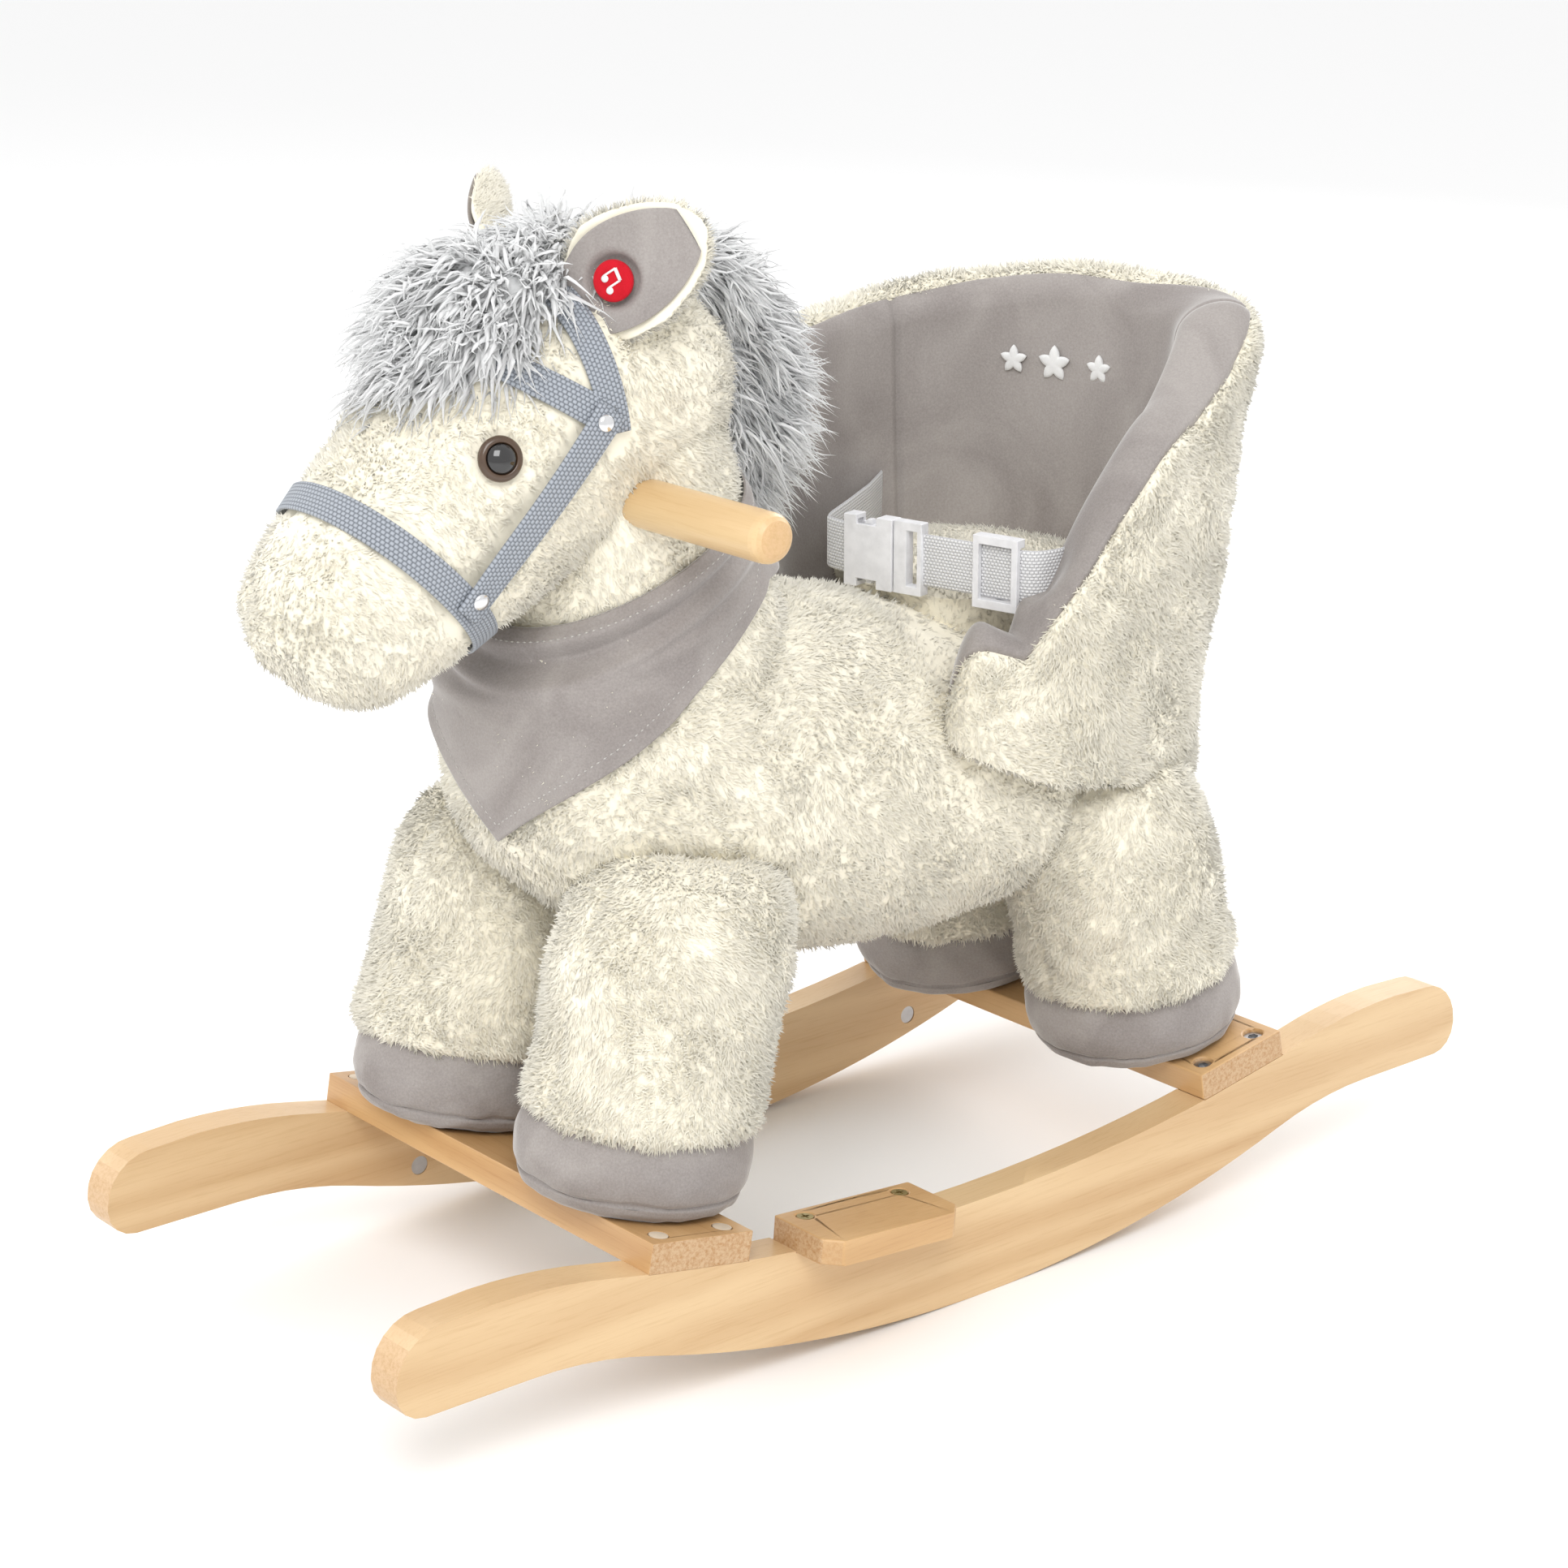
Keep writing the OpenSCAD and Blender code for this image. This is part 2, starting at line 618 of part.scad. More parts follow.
// An ear leaf: width across, length along, thickness out of the face.
module ear_leaf(share, low, high) {
    mid = (low + high)/2;
    skin([for (s = ear_stations) ring([0, s[0]*ear_len/66*share, mid], [0, 1, 0],
        ear_w/2*s[1]*share, (high - low)/2, 2.6)]);
}
button_y = 19;
module button_room(d) {
    translate([0, button_y, -ear_t/2 + 2]) cylinder(h = ear_t + 8, d = d, $fn = 40);
}
module ear(side) {
    color(fleece) mirror([side > 0 ? 0 : 1, 0, 0]) difference() {
        in_ear() ear_leaf(1, -ear_t/2, ear_t/2 - 3);
        head_form(seam_gap);
        in_ear() button_room(button_d + 6);
    }
}
module ear_inner(side) {
    color(velour) mirror([side > 0 ? 0 : 1, 0, 0]) difference() {
        in_ear() ear_leaf(0.82, ear_t/2 - 3 + eps, ear_t/2);
        head_form(seam_gap);
        in_ear() button_room(button_d + 0.6);
    }
}
module sound_box(side) {
    color("dimgray") mirror([side > 0 ? 0 : 1, 0, 0]) in_ear() difference() {
        translate([0, button_y, -ear_t/2 + 2.1]) cylinder(h = 7.2, d = button_d + 5.4, $fn = 40);
        translate([0, button_y, -ear_t/2 + 2.1 + 4]) cylinder(h = 6, d = button_d - 2.4, $fn = 40);
    }
}
module ear_button(side) {
    cap_low = -ear_t/2 + 6.1 + button_travel + 0.2;
    color("crimson") mirror([side > 0 ? 0 : 1, 0, 0]) in_ear() {
        translate([0, button_y, cap_low])
            cylinder(h = ear_t/2 - cap_low + 0.4, d = button_d - 3, $fn = 40);
        translate([0, button_y, ear_t/2 + 0.3]) cylinder(h = button_rim, d = button_d, $fn = 40);
    }
}
module ear_left() {
    ear(1);
}
module ear_right() {
    ear(-1);
}
module ear_inner_left() {
    ear_inner(1);
}
module ear_inner_right() {
    ear_inner(-1);
}
module sound_box_left() {
    sound_box(1);
}
module sound_box_right() {
    sound_box(-1);
}
module ear_button_left() {
    ear_button(1);
}
module ear_button_right() {
    ear_button(-1);
}

eye_at = [54.5, -227, 441];
eye_dir = unit([0.93, -0.3, 0.22]);
eye_d = 21;
// A domed eye with a stem that goes into the head.
module eye(side) {
    color("black") mirror([side > 0 ? 0 : 1, 0, 0]) translate(eye_at)
        rotate([0, acos(eye_dir[2]), atan2(eye_dir[1], eye_dir[0])])
            rotate_extrude($fn = 48) polygon(concat(
                [[0, -14], [2.5, -14], [2.5, 0], [eye_d/2, 0], [eye_d/2, 1.5]],
                [for (i = [0:5]) let(a = 18*i) [eye_d/2*0.94*cos(a), 1.5 + 5*sin(a)]]));
}
module eye_left() {
    difference() {
        eye(1);
        head_form(seam_gap);
    }
}
module eye_right() {
    difference() {
        eye(-1);
        head_form(seam_gap);
    }
}

// The space that both ears and their buttons take, with a little to spare.
module ear_room() {
    for (side = [0, 1]) mirror([side, 0, 0]) in_ear() ear_leaf(1.1, -ear_t/2 - 2, ear_t/2 + 3);
}
module forelock() {
    color("white") difference() {
        skin([for (s = [[-118, 515, 18, 12], [-132, 518, 34, 22], [-155, 513, 42, 32], [-185, 500, 44, 36],
                [-212, 488, 42, 30], [-232, 474, 30, 20], [-245, 464, 14, 9]])
            ring([0, s[0], s[1]], unit([0, -0.92, -0.39]), s[2], s[3], 2.1)]);
        head_form(seam_gap);
        ear_room();
    }
}
module mane() {
    color("white") difference() {
        skin([for (s = [[-60, 392, 18, 16], [-56, 412, 30, 26], [-58, 445, 36, 30], [-70, 480, 38, 30],
                [-92, 508, 36, 26], [-108, 522, 24, 14]])
            ring([0, s[0], s[1]], unit([0, -0.25, 0.97]), s[2], s[3], 2.1)]);
        head_form(seam_gap);
        neck_form(seam_gap);
        ear_room();
        forelock_room();
        intersection() {
            neck_form(cloth_t + 2*seam_gap);
            bandana_region(seam_gap);
        }
        intersection() {
            barrel_skin(cloth_t + 2*seam_gap);
            bandana_region(seam_gap);
        }
    }
}
module forelock_room() {
    translate([-70, -300, 440]) cube([140, 300 - 115, 160]);
}
// Rings of the tail: y, z, half width and half depth.
tail_rings = [[222, 140, 8, 6], [230, 152, 15, 9], [236, 174, 17, 10], [237, 196, 13, 9],
    [232, 208, 8, 7]];
module tail() {
    color("white") difference() {
        skin([for (s = tail_rings) ring([0, s[0], s[1]], [0, 0, 1], s[2], s[3], 2)]);
        barrel_skin(seam_gap);
        in_seat() seat_wall(-seam_gap, shell_t, 0, -seam_gap - 1);
    }
}

// ---------- Bandana ----------
cloth_t = 5;
tip_z = 250;
collar_z = 372;
module bandana() {
    color(velour) difference() {
        intersection() {
            union() {
                barrel_skin(cloth_t + seam_gap);
                neck_form(cloth_t + seam_gap);
            }
            bandana_region(0);
        }
        barrel_skin(seam_gap);
        neck_form(seam_gap);
        head_form(seam_gap + 1);
        handle_bar(handle_len, handle_d + 2);
    }
}
// The space between the collar plane above and the two pointed hem planes below.
module bandana_region(grow) {
    difference() {
        translate([-150, -240, 220]) cube([300, 225, 220]);
        translate([0, -149, collar_z + grow]) rotate([29, 0, 0]) translate([-200, -300, 0])
            cube([400, 600, 200]);
        for (side = [0, 1]) mirror([side, 0, 0]) translate([0, -200, tip_z]) rotate([36, -8, 0])
            translate([-60, -300, -300 - grow]) cube([460, 700, 300]);
    }
}

// ---------- Bridle ----------
// A strap that hugs the head: the head grown outwards, cut by a slab.
module head_strap(at, dir, width) {
    intersection() {
        difference() {
            head_form(bridle_t + seam_gap);
            head_form(seam_gap);
        }
        translate(at) multmatrix(frame_along(dir)) translate([-200, -200, -width/2])
            cube([400, 400, width]);
    }
}
function frame_along(w) = let(z = unit(w), x = abs(z[0]) > 0.9 ? [0, 1, 0] : [1, 0, 0],
    y = unit(cross(z, x)), xx = cross(y, z))
    [[xx[0], y[0], z[0], 0], [xx[1], y[1], z[1], 0], [xx[2], y[2], z[2], 0], [0, 0, 0, 1]];
nose_at = [0, -252, 384];
cheek_low = [48, -243, 378];
cheek_high = [66, -178, 454];
module noseband() {
    color(web_grey) head_strap(nose_at, head_dir + [0, 0.1, -0.1], bridle_w);
}
module cheek_straps() {
    color(web_grey) for (side = [0, 1]) mirror([side, 0, 0]) difference() {
        intersection() {
            head_strap((cheek_low + cheek_high)/2, cross(cheek_high - cheek_low, [1, 0.3, 0]), bridle_w);
            translate([20, -236, 380]) cube([80, 52, 66]);
        }
        noseband_room();
        browband_room();
    }
}
module noseband_room() {
    translate(nose_at) multmatrix(frame_along(head_dir + [0, 0.1, -0.1]))
        translate([-200, -200, -bridle_w/2 - 0.2]) cube([400, 400, bridle_w + 0.4]);
}
brow_dir = unit([0, -0.3, -0.95]);
brow_at = [0, -190, 458];
module browband_room() {
    translate(brow_at) multmatrix(frame_along(brow_dir))
        translate([-200, -200, -bridle_w/2 - 0.2]) cube([400, 400, bridle_w + 0.4]);
}
module browband() {
    color(web_grey) difference() {
        intersection() {
            head_strap(brow_at, brow_dir, bridle_w);
            for (side = [0, 1]) mirror([side, 0, 0]) translate([20, -300, 400]) cube([80, 300 - 172, 200]);
        }
        fringe_room();
    }
}
// The front of the forelock hangs over the browband, which goes under it no further than this.
module fringe_room() {
    translate([-44, -300, 440]) cube([88, 200, 100]);
}
module crown_strap() {
    color(web_grey) difference() {
        intersection() {
            head_strap([0, -164, 480], unit([0, -0.97, -0.24]), bridle_w);
            for (side = [0, 1]) mirror([side, 0, 0]) translate([46, -240, 466]) cube([60, 200, 24]);
        }
        browband_room();
    }
}
module rivet(at, dir) {
    translate(at) rotate([0, acos(dir[2]/norm(dir)), atan2(dir[1], dir[0])])
        rotate_extrude($fn = 32) polygon([[0, 0], [4.2, 0], [3.6, 1.6], [2, 2.6], [0, 3]]);
}
module bridle_rivets() {
    color(steel) for (side = [0, 1]) mirror([side, 0, 0]) {
        rivet([67.3, -176, 454], [0.99, -0.15, 0.07]);
        rivet([54, -246, 379], [0.98, -0.02, -0.19]);
    }
}

// ---------- Lap belt, in the turned frame of the seat ----------
belt_y = -68;
socket_x = -28;
socket_len = 29;
buckle_h = 37;
buckle_t = 9;
socket_end = socket_x + socket_len;
tongue_len = 17;
slider_x = 49;
slider_len = 26;
slider_travel = [-6, 3];
prong_pivot_z = 11.6;
prong_gap = 0.4;
belt_ply = 0.7;
slot_end = [96, 48];
right_path = [[-91, 49], [-83, 40], [-70, 10], [-57, -28], [-48, -56], [-44, -64],
    [socket_x - 4, belt_y], [socket_x - buckle_gap, belt_y]];
left_path = [[socket_end + tongue_len + buckle_gap, belt_y],
    [slider_x + slider_len + 4, belt_y], [84, -64], [88, -54], [90, 10], [93, 32]];
// Webbing that follows a path, seen from above. grow is used for the slots that it runs through.
module web(points, grow = 0) {
    half = belt_t/2 + grow;
    n = len(points);
    normals = [for (i = [0:n-1]) let(
        a = points[max(i - 1, 0)], b = points[min(i + 1, n - 1)], d = (b - a)/norm(b - a))
        [-d[1], d[0]]];
    translate([0, 0, belt_z - belt_w/2 - grow]) linear_extrude(belt_w + 2*grow)
        polygon(concat([for (i = [0:n-1]) points[i] + normals[i]*half],
            [for (i = [n-1:-1:0]) points[i] - normals[i]*half]));
}
// The slots that the webbing runs through, and the space that the slider needs over its travel.
module belt_room() {
    in_seat() web(right_path, belt_ply);
    in_seat() web(concat(left_path, [slot_end]), belt_ply);
    in_seat() translate([slider_x + slider_travel[0] - 2, belt_y - 6, belt_z - belt_w/2 - 7])
        cube([slider_len + slider_travel[1] - slider_travel[0] + 4, 12, belt_w + 14]);
}
module belt_right() {
    color(white) in_seat() web(right_path);
}
module belt_left() {
    color(white) in_seat() web(left_path);
}
module buckle_socket() {
    color(white) in_seat() translate([socket_x, belt_y, belt_z]) difference() {
        translate([0, -buckle_t/2, -buckle_h/2]) cube([socket_len, buckle_t, buckle_h]);
        translate([6, -buckle_t/2 + 2, -16]) cube([socket_len, buckle_t - 4, 32]);
        for (side = [-1, 1])
            translate([7.5, -buckle_t, side*buckle_h/2 - 4.5]) cube([12, 2*buckle_t, 9]);
    }
}
module buckle_tongue() {
    color(white) in_seat() translate([socket_end, belt_y, belt_z]) {
        difference() {
            translate([buckle_gap, -3.2, -buckle_h/2]) cube([tongue_len - buckle_gap, 6.4, buckle_h]);
            translate([8, -5, -belt_w/2 - 0.6]) cube([tongue_len - 10.5, 10, belt_w + 1.2]);
        }
        translate([-16, -2, -3]) cube([17, 4, 6]);
        for (side = [-1, 1]) translate([-2, -2, side*prong_pivot_z - 2]) cube([3, 4, 4]);
    }
}
module prong(side) {
    color(white) in_seat() translate([socket_end - 2 - prong_gap, belt_y, belt_z])
        mirror([0, 0, side > 0 ? 0 : 1]) rotate([90, 0, 0]) translate([0, 0, -2]) linear_extrude(4)
            polygon([[0, prong_pivot_z - 1.6], [-15, prong_pivot_z - 1], [-17, prong_pivot_z + 1.5],
                [-14, prong_pivot_z + 4.9], [-11.6, prong_pivot_z + 4.9], [-10.5, prong_pivot_z + 2.4],
                [0, prong_pivot_z + 1.6]]);
}
module prong_upper() {
    prong(1);
}
module prong_lower() {
    prong(-1);
}
module strap_slider() {
    color(white) in_seat() translate([slider_x, belt_y, belt_z]) {
        for (side = [-1, 1]) translate([0, -4, side*(belt_w/2 + 0.4 + 2.2) - 2.2])
            cube([slider_len, 7, 4.4]);
        for (x = [0, slider_len - 3.5]) translate([x, -4, -belt_w/2 - 1])
            cube([3.5, 4 - belt_t/2 - buckle_gap, belt_w + 2]);
        translate([slider_len/2 - 2, belt_t/2 + buckle_gap, -belt_w/2 - 1])
            cube([4, 3 - belt_t/2 - buckle_gap, belt_w + 2]);
    }
}

rocker_left();
rocker_right();
crossbar_front();
crossbar_rear();
footrest_left();
footrest_right();
crossbar_screws();
barrel_nuts();
footrest_screws();
leg_bolts();
leg_posts();
side_rails();
cross_rails();
neck_post();
seat_board();
back_board();
frame_screws();
handle();
torso();
head_neck();
leg_front_left();
leg_front_right();
leg_rear_left();
leg_rear_right();
hoof_front_left();
hoof_front_right();
hoof_rear_left();
hoof_rear_right();
seat_shell();
seat_lining();
seat_pad();
ear_left();
ear_right();
ear_inner_left();
ear_inner_right();
ear_button_left();
ear_button_right();
sound_box_left();
sound_box_right();
forelock();
mane();
tail();
bandana();
eye_left();
eye_right();
noseband();
browband();
cheek_straps();
crown_strap();
bridle_rivets();
belt_left();
belt_right();
buckle_socket();
buckle_tongue();
prong_upper();
prong_lower();
strap_slider();
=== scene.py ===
"""The looks of a plush rocking horse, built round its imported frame.

Sizes are in millimetres in the classes and become metres in the meshes. The horse faces -Y,
its left side is +X, and +Z is up, as in the frame.
"""
import logging
import math
from collections.abc import Callable
from dataclasses import dataclass, field
from enum import Enum
from functools import reduce

import bpy
import numpy as np
from mathutils import Matrix, Vector


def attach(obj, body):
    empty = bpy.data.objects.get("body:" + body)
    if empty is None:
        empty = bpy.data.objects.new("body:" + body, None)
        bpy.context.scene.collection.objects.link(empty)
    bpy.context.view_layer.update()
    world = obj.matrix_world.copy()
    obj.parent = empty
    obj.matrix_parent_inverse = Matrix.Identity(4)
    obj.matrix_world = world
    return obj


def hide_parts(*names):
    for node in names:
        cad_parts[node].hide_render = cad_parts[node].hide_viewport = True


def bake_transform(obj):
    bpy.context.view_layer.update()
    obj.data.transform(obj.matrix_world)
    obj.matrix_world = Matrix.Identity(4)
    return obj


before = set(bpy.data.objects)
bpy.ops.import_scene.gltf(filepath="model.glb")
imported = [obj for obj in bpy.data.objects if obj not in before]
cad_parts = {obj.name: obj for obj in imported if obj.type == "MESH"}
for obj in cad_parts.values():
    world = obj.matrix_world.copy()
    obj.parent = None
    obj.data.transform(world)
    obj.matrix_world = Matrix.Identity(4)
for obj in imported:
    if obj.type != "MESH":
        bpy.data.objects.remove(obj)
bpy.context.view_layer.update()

MM = 0.001
ROOT = "horse"
LOG = logging.getLogger("rocking_horse")
Array = np.ndarray
Wire = bpy.types.NodeSocket | float | tuple


# ---------------------------------------------------------------- geometry helpers
def unit(v: Array) -> Array:
    """Scales vectors along the last axis to length one."""
    v = np.asarray(v, float)
    return v / np.maximum(np.linalg.norm(v, axis=-1, keepdims=True), 1e-12)


def power(x: Array, p: float) -> Array:
    """Signed power, which turns circles into super-ellipses."""
    return np.sign(x) * np.abs(x) ** p


def smoothstep(lo: float, hi: float, x: Array) -> Array:
    """Rises smoothly from 0 at lo to 1 at hi."""
    t = np.clip((np.asarray(x, float) - lo) / (hi - lo), 0.0, 1.0)
    return t * t * (3 - 2 * t)


def bump_at(x: Array, at: float, width: float) -> Array:
    """A bell curve of height one, centred on at."""
    return np.exp(-(((np.asarray(x, float) - at) / width) ** 2))


def ripple(points: Array, size: float, seed: int, octaves: int = 3) -> Array:
    """Smooth random relief: a sum of cosines in random directions, each octave half the size.

    Args:
        points: Places in millimetres, one row each.
        size: Wavelength of the first octave.
        seed: Seed of the directions and phases.
        octaves: How many octaves are summed.

    Returns:
        Values of about -1 to 1, one for each point.
    """
    rng = np.random.default_rng(seed)
    total = np.zeros(len(points))
    for octave in range(octaves):
        k = unit(rng.normal(size=(10, 3))) * (2 * np.pi * 2**octave / size)
        k = k * rng.uniform(0.7, 1.3, (10, 1))
        total += np.cos(points @ k.T + rng.uniform(0, 2 * np.pi, 10)).sum(1) * 0.5**octave
    return total / 4.0


def spline(knots: Array, values: Array, at: Array) -> Array:
    """Cubic Hermite interpolation with slopes from the neighbours of each knot.

    Args:
        knots: Places of the values, rising.
        values: One row for each knot.
        at: Places that are asked for.

    Returns:
        Interpolated rows.
    """
    knots, values = np.asarray(knots, float), np.asarray(values, float)
    flat = values.reshape(len(knots), -1)
    slope = np.gradient(flat, knots, axis=0)
    i = np.clip(np.searchsorted(knots, at, side="right") - 1, 0, len(knots) - 2)
    h = (knots[i + 1] - knots[i])[:, None]
    t = ((np.asarray(at, float) - knots[i])[:, None]) / h
    out = ((1 + 2 * t) * (1 - t) ** 2 * flat[i] + t * (1 - t) ** 2 * h * slope[i]
           + t * t * (3 - 2 * t) * flat[i + 1] + t * t * (t - 1) * h * slope[i + 1])
    return out.reshape((len(at),) + values.shape[1:])


def quads(rows: int, cols: int, wrap_rows: bool = False, wrap_cols: bool = True) -> Array:
    """Faces of a grid of points that is numbered row by row.

    Args:
        rows: Rows of the grid.
        cols: Points in a row.
        wrap_rows: Whether the last row joins the first.
        wrap_cols: Whether the last column joins the first.

    Returns:
        Four point numbers for each face.
    """
    r = np.arange(rows if wrap_rows else rows - 1)
    c = np.arange(cols if wrap_cols else cols - 1)
    r, c = (a.ravel() for a in np.meshgrid(r, c, indexing="ij"))
    r2, c2 = (r + 1) % rows, (c + 1) % cols
    return np.stack([r * cols + c, r * cols + c2, r2 * cols + c2, r2 * cols + c], 1)


def triangles(faces: Array) -> Array:
    """Splits quads into triangles and leaves triangles as they are.

    Args:
        faces: Faces of three or four corners.

    Returns:
        Faces of three corners.
    """
    if faces.shape[1] == 3:
        return faces
    return np.concatenate([faces[:, [0, 1, 2]], faces[:, [0, 2, 3]]])


@dataclass
class Shape:
    """Points and faces of a surface that is still being made, in millimetres."""

    points: Array
    faces: list[Array]
    uv: Array | None = None
    # Painted light at each point for pile shaders: 0 paints shade at pile roots, 1 leaves the full
    # colour.
    painted_light: Array | None = None
    shading: Array | None = None

    def volume(self) -> float:
        """Signed volume, positive where the faces point outwards.

        Returns:
            Cubic millimetres: a sixth of the sum of the corners' triple products.
        """
        p = self.points
        total = 0.0
        for f in self.faces:
            t = triangles(f)
            total += np.einsum("ij,ij->i", p[t[:, 0]], np.cross(p[t[:, 1]], p[t[:, 2]])).sum()
        return total / 6

    def outward(self) -> "Shape":
        """Turns the faces round if the closed surface is inside out.

        Returns:
            The same shape.
        """
        if self.volume() < 0:
            self.faces = [f[:, ::-1] for f in self.faces]
        return self

    def normals(self) -> Array:
        """Vertex normals, averaged from the faces by area.

        Returns:
            One unit vector for each point.
        """
        n = np.zeros_like(self.points)
        for f in self.faces:
            t = triangles(f)
            a, b, c = (self.points[t[:, k]] for k in range(3))
            fn = np.cross(b - a, c - a)
            for k in range(3):
                np.add.at(n, t[:, k], fn)
        return unit(n)

    def joined(self, other: "Shape") -> "Shape":
        """This shape and another in one, with zeros for the UV or painted light of one that has
        none.

        Args:
            other: The shape that is added.

        Returns:
            A new shape.
        """
        shift = len(self.points)

        uv = painted_light = shading = None
        if self.uv is not None or other.uv is not None:
            uv = np.concatenate([np.zeros((len(x.points), 2)) if x.uv is None else x.uv
                                 for x in (self, other)])
        if self.painted_light is not None or other.painted_light is not None:
            painted_light = np.concatenate([np.zeros(len(x.points)) if x.painted_light is None else x.painted_light
                                   for x in (self, other)])
        if self.shading is not None or other.shading is not None:
            shading = np.concatenate([x.normals() if x.shading is None else x.shading
                                      for x in (self, other)])
        return Shape(np.concatenate([self.points, other.points]),
                     [*self.faces, *[f + shift for f in other.faces]], uv, painted_light, shading)


def together(shapes: list[Shape]) -> Shape:
    """All shapes in one that has no UV.

    Args:
        shapes: The shapes, in order.

    Returns:
        A new shape.
    """
    made = reduce(Shape.joined, shapes)
    made.uv = None
    return made


def grid_shape(points: Array, wrap_rows: bool = False, wrap_cols: bool = True,
               caps: bool = True) -> Shape:
    """A surface over a grid of points, with a fan closing each open end.

    Args:
        points: Array of rows by columns by 3.
        wrap_rows: Whether the last row joins the first.
        wrap_cols: Whether the last column joins the first.
        caps: Whether the first and last rows are closed by a pole point.

    Returns:
        The shape, with uv running 0 to 1 along the columns and rows.
    """
    rows, cols = points.shape[:2]
    flat = points.reshape(-1, 3)
    faces = [quads(rows, cols, wrap_rows, wrap_cols)]
    v, u = np.meshgrid(np.linspace(0, 1, rows), np.linspace(0, 1, cols), indexing="ij")
    uv = np.stack([u.ravel(), v.ravel()], 1)
    if caps and not wrap_rows:
        k = np.arange(cols)
        k2 = (k + 1) % cols
        n = len(flat)
        last = (rows - 1) * cols
        flat = np.concatenate([flat, points[0].mean(0)[None], points[-1].mean(0)[None]])
        faces.append(np.stack([np.full(cols, n), k2, k], 1))
        faces.append(np.stack([np.full(cols, n + 1), last + k, last + k2], 1))
        uv = np.concatenate([uv, [[0.5, 0], [0.5, 1]]])
    return Shape(flat, faces, uv)


def tube(path: Array, radius: Array, sides: int = 8, up: Array | None = None,
         flat: float = 1.0) -> Shape:
    """A closed tube: rings carried along a path, with pole points at its ends.

    Args:
        path: Points of the centre line.
        radius: Radius at each point, or one radius.
        sides: Points in a ring.
        up: A direction that the ring's first axis stays square to.
        flat: Share of the radius kept across the second axis.

    Returns:
        The closed tube.
    """
    path = np.asarray(path, float)
    radius = np.broadcast_to(radius, len(path))
    ahead = unit(np.gradient(path, axis=0))
    guide = np.array([0.0, 0.0, 1.0]) if up is None else np.asarray(up, float)
    side = unit(np.cross(ahead, guide))
    over = np.cross(side, ahead)
    a = np.linspace(0, 2 * np.pi, sides, endpoint=False)
    ring = (side[:, None] * np.cos(a)[None, :, None]
            + over[:, None] * np.sin(a)[None, :, None] * flat)
    return grid_shape(path[:, None] + ring * radius[:, None, None]).outward()


def ribbon(path: Array, face: Array, width: float, thick: float, bulge: float = 0.3) -> Shape:
    """A closed band of webbing: a rounded slab carried along a path.

    Args:
        path: Centre line, one point per row.
        face: Outward direction of the band at each point.
        width: Width of the band.
        thick: Thickness of the band.
        bulge: How far its edges are rounded in.

    Returns:
        The closed band, with uv in metres along and across.
    """
    path = np.asarray(path, float)
    face = unit(np.broadcast_to(face, path.shape))
    ahead = unit(np.gradient(path, axis=0))
    across = unit(np.cross(ahead, face))
    w = width / 2
    s = np.array([-1.0, -0.97, -0.9, -0.5, 0, 0.5, 0.9, 0.97,
                  1.0, 0.97, 0.9, 0.5, 0, -0.5, -0.9, -0.97])
    h = np.array([0, 0.35, 0.5, 0.5, 0.5, 0.5, 0.5, 0.35,
                  0, -0.35, -0.5, -0.5, -0.5, -0.5, -0.5, -0.35])
    h = h * (1 - bulge * (np.abs(s) > 0.95))
    pts = (path[:, None] + across[:, None] * (s * w)[None, :, None]
           + face[:, None] * (h * thick)[None, :, None])
    shape = grid_shape(pts)
    run = np.concatenate([[0], np.cumsum(np.linalg.norm(np.diff(path, axis=0), axis=1))]) * MM
    uv = np.stack([np.repeat(run, len(s)), np.tile(s * w * MM, len(path))], 1)
    shape.uv = np.concatenate([uv, [[run[0], 0], [run[-1], 0]]])
    return shape.outward()


def lathe(profile: Array, at: Array, axis: Array, sides: int = 48) -> Shape:
    """A closed turned shape: profile rows are (distance along the axis, radius).

    Args:
        profile: Rows of distance along the axis and radius.
        at: Origin of the axis.
        axis: Its direction.
        sides: Points in a ring.

    Returns:
        The closed shape.
    """
    axis = unit(axis)
    helper = np.array([0.0, 0.0, 1.0]) if abs(axis[2]) < 0.9 else np.array([1.0, 0.0, 0.0])
    a_dir = unit(np.cross(helper, axis))
    b_dir = np.cross(axis, a_dir)
    a = np.linspace(0, 2 * np.pi, sides, endpoint=False)
    ring = a_dir * np.cos(a)[:, None] + b_dir * np.sin(a)[:, None]
    profile = np.asarray(profile, float)
    pts = (np.asarray(at, float) + axis * profile[:, 0][:, None, None]
           + ring[None] * profile[:, 1][:, None, None])
    return grid_shape(pts).outward()


